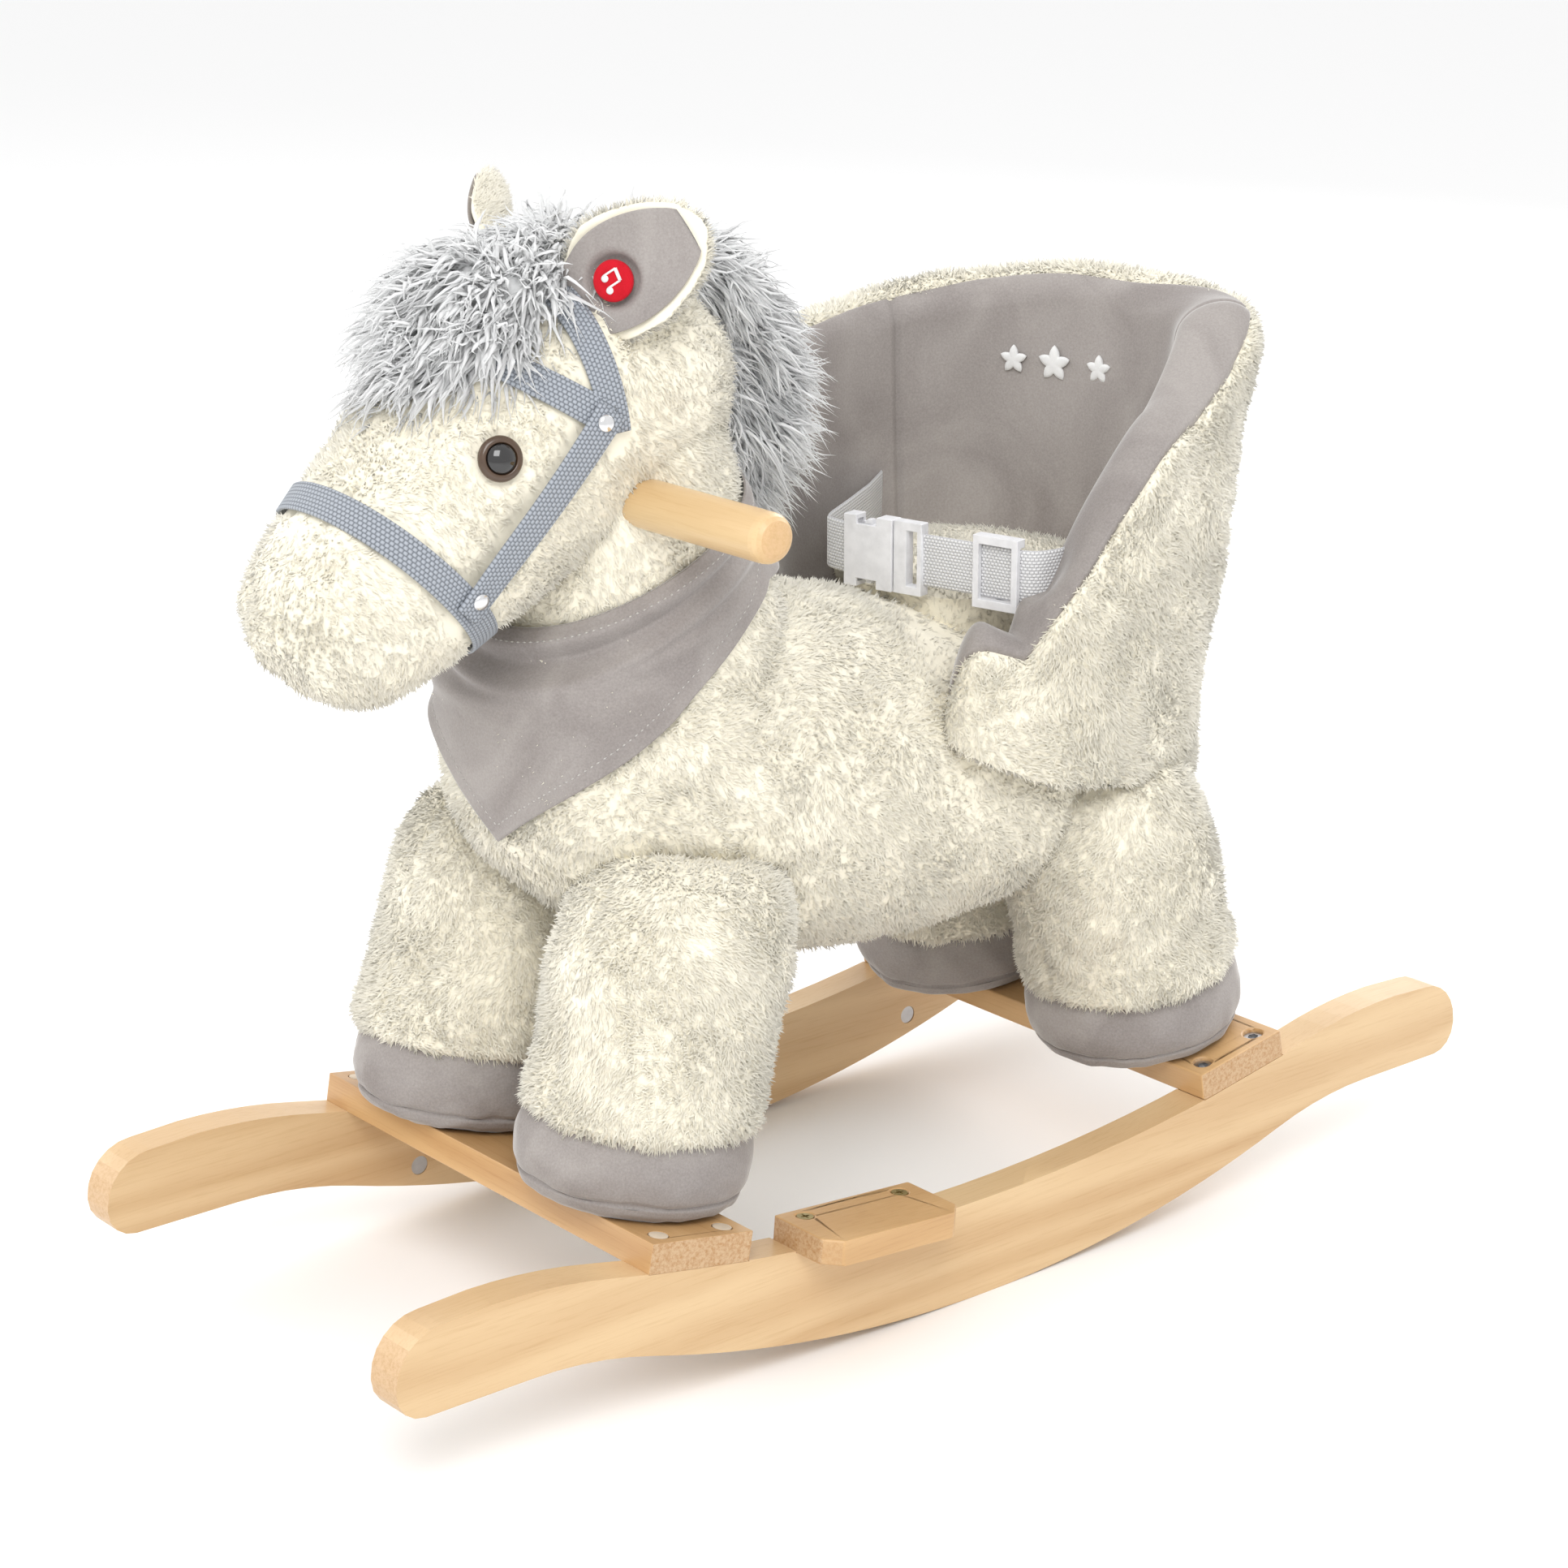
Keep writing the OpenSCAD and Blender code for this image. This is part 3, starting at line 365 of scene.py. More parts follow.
def fibres(shape: Shape, count: int, length: float, width: float, comb: Array,
           seed: int, keep: Array | None = None, lift: float = 0.55) -> Shape:
    """Short closed cones of pile, scattered evenly over a surface.

    Args:
        shape: The surface that the pile grows from.
        count: How many cones.
        length: Mean length of a cone.
        width: Width of a cone at its root.
        comb: Direction that the pile is brushed in.
        seed: Seed of the scatter.
        keep: Optional share at each vertex that says where the pile grows.
        lift: Share of the normal in a cone's direction.

    Returns:
        The cones in one shape, whose painted light runs from 0 at the roots, painted shade, to 1 at
        the tips.
    """
    rng = np.random.default_rng(seed)
    tris = np.concatenate([triangles(f) for f in shape.faces])
    a, b, c = (shape.points[tris[:, k]] for k in range(3))
    area = np.linalg.norm(np.cross(b - a, c - a), axis=1)
    if keep is not None:
        area = area * keep[tris].mean(1)
    pick = rng.choice(len(tris), count, p=area / area.sum())
    w = rng.dirichlet((1, 1, 1), count)
    p = a[pick] * w[:, :1] + b[pick] * w[:, 1:2] + c[pick] * w[:, 2:]
    vn = shape.normals()
    n = unit((vn[tris[pick]] * w[:, :, None]).sum(1))
    comb = np.asarray(comb, float)
    flow = comb - n * (n @ comb)[:, None]
    swirl = np.stack([ripple(p, 60, seed + k, 2) for k in range(3)], 1)
    way = unit(n * lift + unit(flow) * 0.4 + swirl * 0.4 + rng.normal(size=n.shape) * 0.3)
    long = length * rng.uniform(0.6, 1.25, count)
    side = unit(np.cross(way, rng.normal(size=n.shape)))
    over = np.cross(way, side)
    root = p - n * 0.35
    tip = p + way * long[:, None]
    ang = np.array([0, 2 * np.pi / 3, 4 * np.pi / 3])
    base = root[:, None] + (side[:, None] * np.cos(ang)[None, :, None]
                            + over[:, None] * np.sin(ang)[None, :, None]) * (width / 2)
    pts = np.concatenate([base, tip[:, None]], 1).reshape(-1, 3)
    k = np.arange(count)[:, None] * 4
    faces = np.concatenate([k + [0, 1, 3], k + [1, 2, 3], k + [2, 0, 3], k + [0, 2, 1]])
    # Roots 0 and tips 1: painted shade down among the fibres.
    painted_light = np.tile([0.0, 0.0, 0.0, 1.0], count)
    made = Shape(pts, [faces], None, painted_light, np.repeat(unit(n + 0.25 * way), 4, axis=0))
    if made.volume() < 0:
        made.faces = [faces[:, ::-1]]
    return made


def locks(roots: Array, ways: Array, length: Array, width: Array, droop: float, seed: int,
          rings: int = 6, curl: float = 0.25, sides: int = 4) -> Shape:
    """Long tapered locks of fur, which leave along ways and bend down under their weight.

    Args:
        roots: Starting points.
        ways: Starting directions.
        length: Length of each lock.
        width: Width of each lock at its thickest.
        droop: How strongly the locks bend down.
        seed: Seed of the waviness.
        rings: Rings along a lock.
        curl: Sideways wander as a share of the length.
        sides: Points in a ring.

    Returns:
        All locks in one shape, whose painted light runs from 0 at the root, painted shade, to 1 at
        the tip.
    """
    rng = np.random.default_rng(seed)
    n = len(roots)
    t = np.linspace(0, 1, rings)
    side = unit(np.cross(ways, rng.normal(size=(n, 3))))
    path = (roots[:, None] + ways[:, None] * (t * 1.0)[None, :, None] * length[:, None, None]
            + np.array([0, 0, -1.0]) * (t**2 * droop)[None, :, None] * length[:, None, None]
            + side[:, None] * (np.sin(t * rng.uniform(1.5, 4.5, (n, 1)) + rng.uniform(0, 6, (n, 1)))
                               * curl * t)[:, :, None] * length[:, None, None])
    ahead = unit(np.gradient(path, axis=1))
    across = unit(np.cross(ahead, np.array([0.13, 0.31, 0.94])))
    over = np.cross(across, ahead)
    a = np.linspace(0, 2 * np.pi, sides, endpoint=False)
    swell = np.sin(np.pi * np.clip(t * 0.86 + 0.1, 0, 1)) ** 0.7 * (1 - t**3)
    swell[-1] = 0.02
    r = width[:, None] / 2 * swell[None]
    ring = (across[:, :, None] * np.cos(a)[None, None, :, None]
            + over[:, :, None] * np.sin(a)[None, None, :, None] * 0.6)
    pts = (path[:, :, None] + ring * r[:, :, None, None]).reshape(-1, 3)
    per = rings * sides
    q = quads(rings, sides)
    ends = np.array([[2, 1, 0, 3]]) if sides == 4 else np.zeros((0, 4), int)
    tips = ends[:, ::-1] + (rings - 1) * sides
    one = np.concatenate([q, ends, tips])
    faces = (one[None] + (np.arange(n) * per)[:, None, None]).reshape(-1, 4)
    # Painted light along each lock: painted shade at the root, full colour at the tip.
    painted_light = np.tile(np.repeat(t, sides), n)
    soft = unit(ways[:, None, None] + 0.4 * ring).reshape(-1, 3)
    return Shape(pts, [faces], None, painted_light, soft).outward()


class Loft:
    """A smooth body over a row of super-ellipse rings that all lie square to one direction."""

    def __init__(self, centres: Array, across: Array, upward: Array, square: Array,
                 roundness: float) -> None:
        """Keeps the rings.

        Args:
            centres: Ring centres in order.
            across: Half widths along X.
            upward: Half heights across the other axis of the ring.
            square: Direction that the rings are square to.
            roundness: Exponent of the super-ellipse, 2 for a plain one.
        """
        self.centres = np.asarray(centres, float)
        self.across, self.upward = np.asarray(across, float), np.asarray(upward, float)
        self.w = unit(square)
        self.u = np.array([1.0, 0.0, 0.0])
        self.v = unit(np.cross(self.w, self.u))
        self.e = roundness
        step = np.linalg.norm(np.diff(self.centres, axis=0), axis=1)
        self.knots = np.concatenate([[0], np.cumsum(step)]) / step.sum()

    def at(self, t: Array) -> tuple[Array, Array, Array]:
        """Centre and half sizes of the rings at shares t of the length.

        Args:
            t: Shares of the length, from 0 to 1.

        Returns:
            Centres, half widths and half heights.
        """
        rows = np.column_stack([self.centres, self.across, self.upward])
        got = spline(self.knots, rows, t)
        return got[:, :3], np.maximum(got[:, 3], 0.4), np.maximum(got[:, 4], 0.4)

    def surface(self, rows: int, cols: int, grow: float = 0.0) -> Array:
        """Grid of points: rings closer together at the ends, where the form rounds over.

        Args:
            rows: Rings.
            cols: Points in a ring.
            grow: How far the surface is grown outwards.

        Returns:
            Grid of points: centre + u a cos(t)^(2/e) + v b sin(t)^(2/e).
        """
        t = (1 - np.cos(np.linspace(0, np.pi, rows))) / 2
        t = 0.75 * t + 0.25 * np.linspace(0, 1, rows)
        c, a, b = self.at(t)
        ang = np.linspace(0, 2 * np.pi, cols, endpoint=False)
        x, y = power(np.cos(ang), 2 / self.e), power(np.sin(ang), 2 / self.e)
        return (c[:, None] + self.u * ((a + grow)[:, None] * x)[:, :, None]
                + self.v * ((b + grow)[:, None] * y)[:, :, None])

    def level(self, p: Array, grow: float = 0.0) -> Array:
        """Below 1 inside the body grown by grow, and above 1 outside.

        Args:
            p: Points, one row each.
            grow: How far the body is grown.

        Returns:
            One value for each point: the super-ellipse norm in the ring at its height.
        """
        s = p @ self.w
        knots = self.centres @ self.w
        order = np.argsort(knots)
        t = np.interp(s, knots[order], self.knots[order])
        c, a, b = self.at(np.atleast_1d(t))
        d = p - c
        x, y = np.abs(d @ self.u) / (a + grow), np.abs(d @ self.v) / (b + grow)
        out = (x**self.e + y**self.e) ** (1 / self.e)
        lo, hi = knots.min() - grow, knots.max() + grow
        return np.where((s < lo) | (s > hi), 9.0, out)


def cast(bodies: list["Loft"], origins: Array, ways: Array, reach: float, grow: float = 0.0,
         steps: int = 160) -> Array:
    """Distance to where each ray leaves the union of some bodies for the last time.

    Args:
        bodies: The bodies.
        origins: Starting points, inside the bodies.
        ways: Unit directions.
        reach: Longest distance that is tried.
        grow: How far the bodies are grown.
        steps: Samples along a ray, refined between the two that straddle the skin.

    Returns:
        One distance for each ray.
    """
    s = np.linspace(0, reach, steps)
    p = origins[:, None] + ways[:, None] * s[None, :, None]
    level = np.min([b.level(p.reshape(-1, 3), grow).reshape(p.shape[:2]) for b in bodies], axis=0)
    inside = level < 1
    last = steps - 1 - np.argmax(inside[:, ::-1], axis=1)
    last = np.where(inside.any(1), np.minimum(last, steps - 2), 0)
    k = np.arange(len(origins))
    l0, l1 = level[k, last], np.minimum(level[k, last + 1], 1.6)
    share = np.clip((1 - l0) / np.maximum(l1 - l0, 1e-6), 0, 1)
    return s[last] + share * (s[1] - s[0])


def put(name: str, shape: Shape, material: bpy.types.Material, body: str = ROOT,
        smooth: bool = True) -> bpy.types.Object:
    """Makes a piece of the shape, in metres, dresses it and lets it ride on a body.

    Args:
        name: Name of the piece.
        shape: Its points and faces in millimetres.
        material: Its material.
        body: CAD body that it moves with, or an empty name for a piece that rides on none.
        smooth: Whether the faces are shaded smooth.

    Returns:
        The new object.
    """
    mesh = bpy.data.meshes.new(name)
    mesh.vertices.add(len(shape.points))
    mesh.vertices.foreach_set("co", (shape.points * MM).astype(np.float32).ravel())
    sizes = np.concatenate([np.full(len(f), f.shape[1]) for f in shape.faces])
    loops = np.concatenate([f.ravel() for f in shape.faces])
    mesh.loops.add(len(loops))
    mesh.loops.foreach_set("vertex_index", loops.astype(np.int32))
    mesh.polygons.add(len(sizes))
    starts = np.concatenate([[0], np.cumsum(sizes)[:-1]])
    mesh.polygons.foreach_set("loop_start", starts.astype(np.int32))
    mesh.update(calc_edges=True)
    if shape.uv is not None:
        layer = mesh.uv_layers.new(name="UVMap")
        layer.data.foreach_set("uv", shape.uv[loops].astype(np.float32).ravel())
    # The pile's painted light, which the shader turns into painted shade at the roots.
    if shape.painted_light is not None:
        mesh.attributes.new("painted_light", "FLOAT", "POINT").data.foreach_set(
            "value", shape.painted_light.astype(np.float32))
    mesh.polygons.foreach_set("use_smooth", np.full(len(sizes), smooth))
    mesh.validate()
    if shape.shading is not None:
        mesh.normals_split_custom_set_from_vertices(shape.shading.astype(np.float32))
    mesh.materials.append(material)
    obj = bpy.data.objects.new(name, mesh)
    bpy.context.scene.collection.objects.link(obj)
    if body:
        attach(obj, body)
    LOG.info("%s: %d points, %d faces", name, len(shape.points), len(sizes))
    return obj


# ---------------------------------------------------------------- shaders
class Graph:
    """A short way to write shader nodes: add one, and set or link its sockets by name."""

    def __init__(self, tree: bpy.types.NodeTree) -> None:
        """Keeps the tree that nodes are added to."""
        self.tree = tree

    def add(self, kind: str, sockets: dict | None = None, **settings: object) -> bpy.types.Node:
        """Adds a node.

        Args:
            kind: Node type without its prefix.
            sockets: Values or output sockets for its inputs, by name or number.
            **settings: Properties of the node.

        Returns:
            The node.
        """
        node = self.tree.nodes.new(kind if kind.startswith("Node") else "ShaderNode" + kind)
        for key, value in settings.items():
            setattr(node, key, value)
        for key, value in (sockets or {}).items():
            socket = node.inputs[key]
            if isinstance(value, bpy.types.NodeSocket):
                self.tree.links.new(value, socket)
            else:
                socket.default_value = value
        return node

    def math(self, operation: str, a: Wire, b: Wire = 0.0, c: Wire = 0.0) -> bpy.types.NodeSocket:
        """Result of a Math node on up to three values or sockets."""
        return self.add("Math", {0: a, 1: b, 2: c}, operation=operation).outputs[0]

    def mix(self, share: Wire, a: Wire, b: Wire) -> bpy.types.NodeSocket:
        """Colour a mixed with colour b by share."""
        node = self.add("Mix", {0: share, 6: a, 7: b}, data_type="RGBA")
        return node.outputs[2]

    def ramp(self, value: Wire, lo: float, hi: float) -> bpy.types.NodeSocket:
        """A value stretched from the range lo to hi onto 0 to 1, and clamped."""
        return self.add("MapRange", {0: value, 1: lo, 2: hi, 3: 0.0, 4: 1.0}).outputs[0]

    def noise(self, vector: Wire, scale: float, detail: float = 3.0, rough: float = 0.55,
              warp: float = 0.0) -> bpy.types.NodeSocket:
        """Fractal noise, from 0 to 1."""
        return self.add("TexNoise", {"Vector": vector, "Scale": scale, "Detail": detail,
                                     "Roughness": rough, "Distortion": warp}).outputs[0]

    def stretch(self, vector: Wire, scale: tuple[float, float, float]) -> bpy.types.NodeSocket:
        """A vector scaled on each axis."""
        return self.add("Mapping", {"Vector": vector, "Scale": scale}).outputs[0]


def colour(rgb: tuple[float, float, float]) -> tuple[float, float, float, float]:
    """A linear colour with full alpha."""
    return (*rgb, 1.0)


def group(name: str, inputs: dict[str, str], outputs: dict[str, str]) -> tuple:
    """An empty shader node group with named sockets.

    Args:
        name: Name of the group.
        inputs: Socket names and types.
        outputs: Socket names and types.

    Returns:
        The group, its graph, its input node and its output node.
    """
    tree = bpy.data.node_groups.new(name, "ShaderNodeTree")
    for direction, sockets in (("INPUT", inputs), ("OUTPUT", outputs)):
        for key, kind in sockets.items():
            tree.interface.new_socket(key, in_out=direction, socket_type="NodeSocket" + kind)
    graph = Graph(tree)
    return tree, graph, graph.add("NodeGroupInput"), graph.add("NodeGroupOutput")


def nap_group() -> bpy.types.NodeTree:
    """Soft nap: broad brushed patches, fine fibres, and a height of both; the colour is darker where
    the height is low, which paints shade into the troughs as well as patchy tone.

    Returns:
        The node group.
    """
    tree, g, inp, out = group("soft_nap", {"Vector": "Vector", "Light": "Color", "Dark": "Color",
                                           "Broad": "Float", "Fine": "Float"},
                              {"Color": "Color", "Height": "Float"})
    link = tree.links.new
    broad = g.add("TexNoise", {"Detail": 3.0, "Distortion": 1.2})
    fine = g.add("TexNoise", {"Detail": 4.0, "Roughness": 0.65})
    for node, name in ((broad, "Broad"), (fine, "Fine")):
        link(inp.outputs["Vector"], node.inputs["Vector"])
        link(inp.outputs[name], node.inputs["Scale"])
    # Lighter where the noises, and so the height, are high: painted shade in the troughs, over
    # patchy tone.
    share = g.math("MULTIPLY_ADD", g.ramp(fine.outputs[0], 0.3, 0.7), 0.45,
                   g.math("MULTIPLY", g.ramp(broad.outputs[0], 0.35, 0.68), 0.55))
    link(g.mix(share, inp.outputs["Dark"], inp.outputs["Light"]), out.inputs["Color"])
    link(g.math("MULTIPLY_ADD", fine.outputs[0], 0.8, g.math("MULTIPLY", broad.outputs[0], 0.2)),
         out.inputs["Height"])
    return tree


def grain_group() -> bpy.types.NodeTree:
    """Wood: long grain along the vector's Y, with end grain where the mask says so.

    Returns:
        The node group.
    """
    tree, g, inp, out = group("wood_grain", {"Vector": "Vector", "Light": "Color", "Dark": "Color",
                                             "End": "Color", "Mask": "Float"},
                              {"Color": "Color", "Height": "Float", "Rough": "Float"})
    v = inp.outputs["Vector"]
    bands = g.add("TexWave", {"Vector": g.stretch(v, (1, 0.16, 1)), "Scale": 13.0,
                              "Distortion": 7.0, "Detail": 3.0, "Detail Scale": 1.4},
                  bands_direction="Z").outputs[1]
    broad = g.noise(g.stretch(v, (14, 1.6, 22)), 1.0, 3.0)
    pores = g.noise(g.stretch(v, (900, 28, 900)), 1.0, 3.0, 0.7)
    share = g.math("ADD", g.math("MULTIPLY", bands, 0.35),
                   g.math("ADD", g.math("MULTIPLY", g.ramp(broad, 0.3, 0.75), 0.5),
                          g.math("MULTIPLY", g.ramp(pores, 0.5, 0.8), 0.35)))
    long = g.mix(share, inp.outputs["Light"], inp.outputs["Dark"])
    specks = g.noise(g.stretch(v, (520, 520, 520)), 1.0, 3.0, 0.8)
    cut = g.mix(g.ramp(specks, 0.42, 0.68), inp.outputs["End"], inp.outputs["Dark"])
    mask = inp.outputs["Mask"]
    tree.links.new(g.mix(mask, long, cut), out.inputs["Color"])
    height = g.math("MULTIPLY_ADD", mask, g.math("MULTIPLY", specks, 1.5), pores)
    tree.links.new(height, out.inputs["Height"])
    rough = g.math("MULTIPLY_ADD", mask, 0.2, g.math("MULTIPLY_ADD", pores, 0.12, 0.3))
    tree.links.new(rough, out.inputs["Rough"])
    return tree


def weave_group() -> bpy.types.NodeTree:
    """Woven webbing from a UV in metres: ribs along it, crossed by picks that step from rib to rib.

    Returns:
        The node group.
    """
    tree, g, inp, out = group("webbing_weave", {"Vector": "Vector", "Rib": "Float", "Pick": "Float"},
                              {"Height": "Float", "Mask": "Float", "Heather": "Float"})
    split = g.add("SeparateXYZ", {0: inp.outputs["Vector"]})
    along = g.math("MULTIPLY", split.outputs[0], inp.outputs["Pick"])
    across = g.math("MULTIPLY", split.outputs[1], inp.outputs["Rib"])
    rib = g.math("ABSOLUTE", g.math("SINE", g.math("MULTIPLY", across, math.pi)))
    step = g.math("MULTIPLY", g.math("FLOOR", across), 0.5)
    turn = g.math("MULTIPLY", g.math("ADD", along, step), math.pi)
    pick = g.math("ABSOLUTE", g.math("SINE", turn))
    height = g.math("MULTIPLY", g.math("POWER", rib, 0.6), g.math("POWER", pick, 0.7))
    tree.links.new(height, out.inputs["Height"])
    tree.links.new(g.ramp(height, 0.15, 0.75), out.inputs["Mask"])
    tree.links.new(g.noise(g.stretch(inp.outputs["Vector"], (900, 2200, 1)), 1.0, 2.0),
                   out.inputs["Heather"])
    return tree


class Groups:
    """The node groups that several finishes share, each built once."""

    _made: dict[str, bpy.types.NodeTree] = {}

    @classmethod
    def get(cls, name: str) -> bpy.types.NodeTree:
        """The group of that name, built the first time that it is asked for.

        Args:
            name: nap, grain or weave.

        Returns:
            The node group.
        """
        makers = {"nap": nap_group, "grain": grain_group, "weave": weave_group}
        if name not in cls._made:
            cls._made[name] = makers[name]()
        return cls._made[name]


@dataclass(frozen=True)
class Finish:
    """A finish that becomes a Blender material once."""

    name: str

    def build(self, g: Graph, bsdf: bpy.types.Node) -> None:
        """Adds the finish's own nodes to a new material."""

    def material(self) -> bpy.types.Material:
        """The material, made the first time and found again after that.

        Returns:
            The Blender material.
        """
        found = bpy.data.materials.get(self.name)
        if found:
            return found
        made = bpy.data.materials.new(self.name)
        made.use_nodes = True
        g = Graph(made.node_tree)
        self.build(g, made.node_tree.nodes["Principled BSDF"])
        return made

    @staticmethod
    def set(bsdf: bpy.types.Node, **values) -> None:
        """Sets constants on the shader's own sockets; underscores stand for spaces."""
        for key, value in values.items():
            bsdf.inputs[key.replace("_", " ")].default_value = value

    @staticmethod
    def bump(g: Graph, bsdf: bpy.types.Node, height: Wire, strength: float, depth: float) -> None:
        """Feeds a height through a Bump node into the shader's normal."""
        node = g.add("Bump", {"Height": height, "Strength": strength, "Distance": depth})
        g.tree.links.new(node.outputs[0], bsdf.inputs["Normal"])


@dataclass(frozen=True)
class Nap(Finish):
    """Plush or velour: nap that catches light at its edges."""

    light: tuple[float, float, float] = (0.8, 0.77, 0.68)
    dark: tuple[float, float, float] = (0.7, 0.66, 0.55)
    broad: float = 22.0
    fine: float = 420.0
    sheen: float = 0.35
    sheen_rough: float = 0.5
    depth: float = 0.0012
    strength: float = 0.5
    # Darkens pile towards its roots: painted shade between the fibres.
    root_shaded: bool = False
    deep: float = 0.0

    def build(self, g: Graph, bsdf: bpy.types.Node) -> None:
        """Nap group on object coordinates; the colour is darker in the troughs of the bump, and
        shaded pile is darker still at its roots: both painted shade.

        Args:
            g: Graph of the material.
            bsdf: Its shader.
        """
        place = g.add("TexCoord").outputs["Object"]
        nap = g.add("Group", node_tree=Groups.get("nap"))
        g.tree.links.new(place, nap.inputs["Vector"])
        for key, value in (("Light", colour(self.light)), ("Dark", colour(self.dark)),
                           ("Broad", self.broad), ("Fine", self.fine)):
            nap.inputs[key].default_value = value
        shade = nap.outputs["Color"]
        # Painted shade at the pile's roots: a darker colour mixed towards the full colour at the
        # tips.
        if self.root_shaded:
            painted_light = g.add("Attribute", attribute_name="painted_light").outputs["Fac"]
            low = g.mix(0.5, shade, colour(tuple(c * 0.9 for c in self.dark)))
            shade = g.mix(g.ramp(painted_light, 0.0, 0.8), low, colour(self.light))
        g.tree.links.new(shade, bsdf.inputs["Base Color"])
        self.set(bsdf, Roughness=0.9, Sheen_Weight=self.sheen, Sheen_Roughness=self.sheen_rough,
                 Specular_IOR_Level=0.15, Subsurface_Weight=self.deep, Subsurface_Scale=0.006,
                 Subsurface_Radius=(1.0, 1.0, 1.0))
        self.bump(g, bsdf, nap.outputs["Height"], self.strength, self.depth)


class GrainWay(Enum):
    """Which axis the wood's grain runs along."""

    X = 0
    Y = 1


@dataclass(frozen=True)
class Wood(Finish):
    """Clear lacquered softwood."""

    way: GrainWay = GrainWay.Y
    light: tuple[float, float, float] = (0.74, 0.54, 0.31)
    dark: tuple[float, float, float] = (0.52, 0.32, 0.15)
    end: tuple[float, float, float] = (0.62, 0.42, 0.24)

    def build(self, g: Graph, bsdf: bpy.types.Node) -> None:
        """Grain group, turned to the board's own direction, with end grain on its cut faces.

        Args:
            g: Graph of the material.
            bsdf: Its shader.
        """
        place = g.add("TexCoord").outputs["Object"]
        split = g.add("SeparateXYZ", {0: g.add("NewGeometry").outputs["Normal"]})
        if self.way is GrainWay.X:
            place = g.add("Mapping", {"Vector": place, "Rotation": (0, 0, math.pi / 2)}).outputs[0]
        facing = g.math("ABSOLUTE", split.outputs[self.way.value])
        wood = g.add("Group", node_tree=Groups.get("grain"))
        links = g.tree.links
        links.new(place, wood.inputs["Vector"])
        links.new(g.ramp(facing, 0.6, 0.85), wood.inputs["Mask"])
        for key, value in (("Light", self.light), ("Dark", self.dark), ("End", self.end)):
            wood.inputs[key].default_value = colour(value)
        links.new(wood.outputs["Color"], bsdf.inputs["Base Color"])
        links.new(wood.outputs["Rough"], bsdf.inputs["Roughness"])
        self.set(bsdf, Coat_Weight=0.25, Coat_Roughness=0.25, Specular_IOR_Level=0.4)
        self.bump(g, bsdf, wood.outputs["Height"], 0.25, 0.0003)


@dataclass(frozen=True)
class Webbing(Finish):
    """Woven strap in two near shades."""

    light: tuple[float, float, float] = (0.75, 0.75, 0.75)
    dark: tuple[float, float, float] = (0.5, 0.5, 0.5)
    rib: float = 520.0
    pick: float = 420.0

    def build(self, g: Graph, bsdf: bpy.types.Node) -> None:
        """Weave group on the strap's UV, which is in metres.

        Args:
            g: Graph of the material.
            bsdf: Its shader.
        """
        uv = g.add("TexCoord").outputs["UV"]
        weave = g.add("Group", node_tree=Groups.get("weave"))
        g.tree.links.new(uv, weave.inputs["Vector"])
        weave.inputs["Rib"].default_value = self.rib
        weave.inputs["Pick"].default_value = self.pick
        share = g.math("MULTIPLY_ADD", weave.outputs["Heather"], 0.35,
                       g.math("MULTIPLY", weave.outputs["Mask"], 0.7))
        g.tree.links.new(g.mix(share, colour(self.dark), colour(self.light)),
                         bsdf.inputs["Base Color"])
        self.set(bsdf, Roughness=0.62, Sheen_Weight=0.15, Specular_IOR_Level=0.35)
        self.bump(g, bsdf, weave.outputs["Height"], 0.9, 0.0006)


@dataclass(frozen=True)
class Moulded(Finish):
    """Moulded plastic, enamel or metal with faint scuffs."""

    base: tuple[float, float, float] = (0.8, 0.8, 0.8)
    rough: float = 0.35
    metal: float = 0.0
    coat: float = 0.0
    sheen: float = 0.0
    scuff: float = 1.0

    def build(self, g: Graph, bsdf: bpy.types.Node) -> None:
        """Colour and roughness that drift a little over the surface, over a fine skin.

        Args:
            g: Graph of the material.
            bsdf: Its shader.
        """
        place = g.add("TexCoord").outputs["Object"]
        drift = g.noise(place, 160.0, 3.0)
        dull = colour(tuple(c * (1 - 0.14 * self.scuff) for c in self.base))
        g.tree.links.new(g.mix(g.ramp(drift, 0.35, 0.75), colour(self.base), dull),
                         bsdf.inputs["Base Color"])
        g.tree.links.new(g.math("MULTIPLY_ADD", drift, 0.2, self.rough - 0.08),
                         bsdf.inputs["Roughness"])
        self.set(bsdf, Metallic=self.metal, Coat_Weight=self.coat, Sheen_Weight=self.sheen)
        self.bump(g, bsdf, g.noise(place, 1800.0, 2.0), 0.06 * self.scuff, 0.0002)


# Every Nap is darker in the troughs of its bump, and FLEECE and LONG_PILE are darker at the roots of
# their pile: painted shade.
FLEECE = Nap("cream_fleece", (0.95, 0.905, 0.77), (0.92, 0.855, 0.68), 16.0, 300.0, 0.3,
             depth=0.0006, strength=0.12, root_shaded=True)
VELOUR = Nap("taupe_velour", (0.40, 0.37, 0.35), (0.24, 0.215, 0.205), 14.0, 900.0, 0.6, 0.3,
             depth=0.0004, strength=0.35)
LONG_PILE = Nap("white_long_pile", (0.96, 0.97, 0.97), (0.92, 0.93, 0.93), 30.0, 700.0, 0.3,
                depth=0.0003, strength=0.08, root_shaded=True, deep=0.6)
THREAD = Nap("pale_thread", (0.62, 0.60, 0.57), (0.5, 0.48, 0.45), 60.0, 2500.0, 0.2)
WHITE_THREAD = Nap("white_thread", (0.85, 0.85, 0.84), (0.7, 0.7, 0.7), 60.0, 2500.0, 0.1,
                   depth=0.0002)
RED_PATCH = Nap("red_patch", (0.62, 0.012, 0.025), (0.42, 0.006, 0.014), 60.0, 2500.0, 0.1,
                depth=0.0002)
ROCKER_WOOD = Wood("lacquered_rocker_wood")
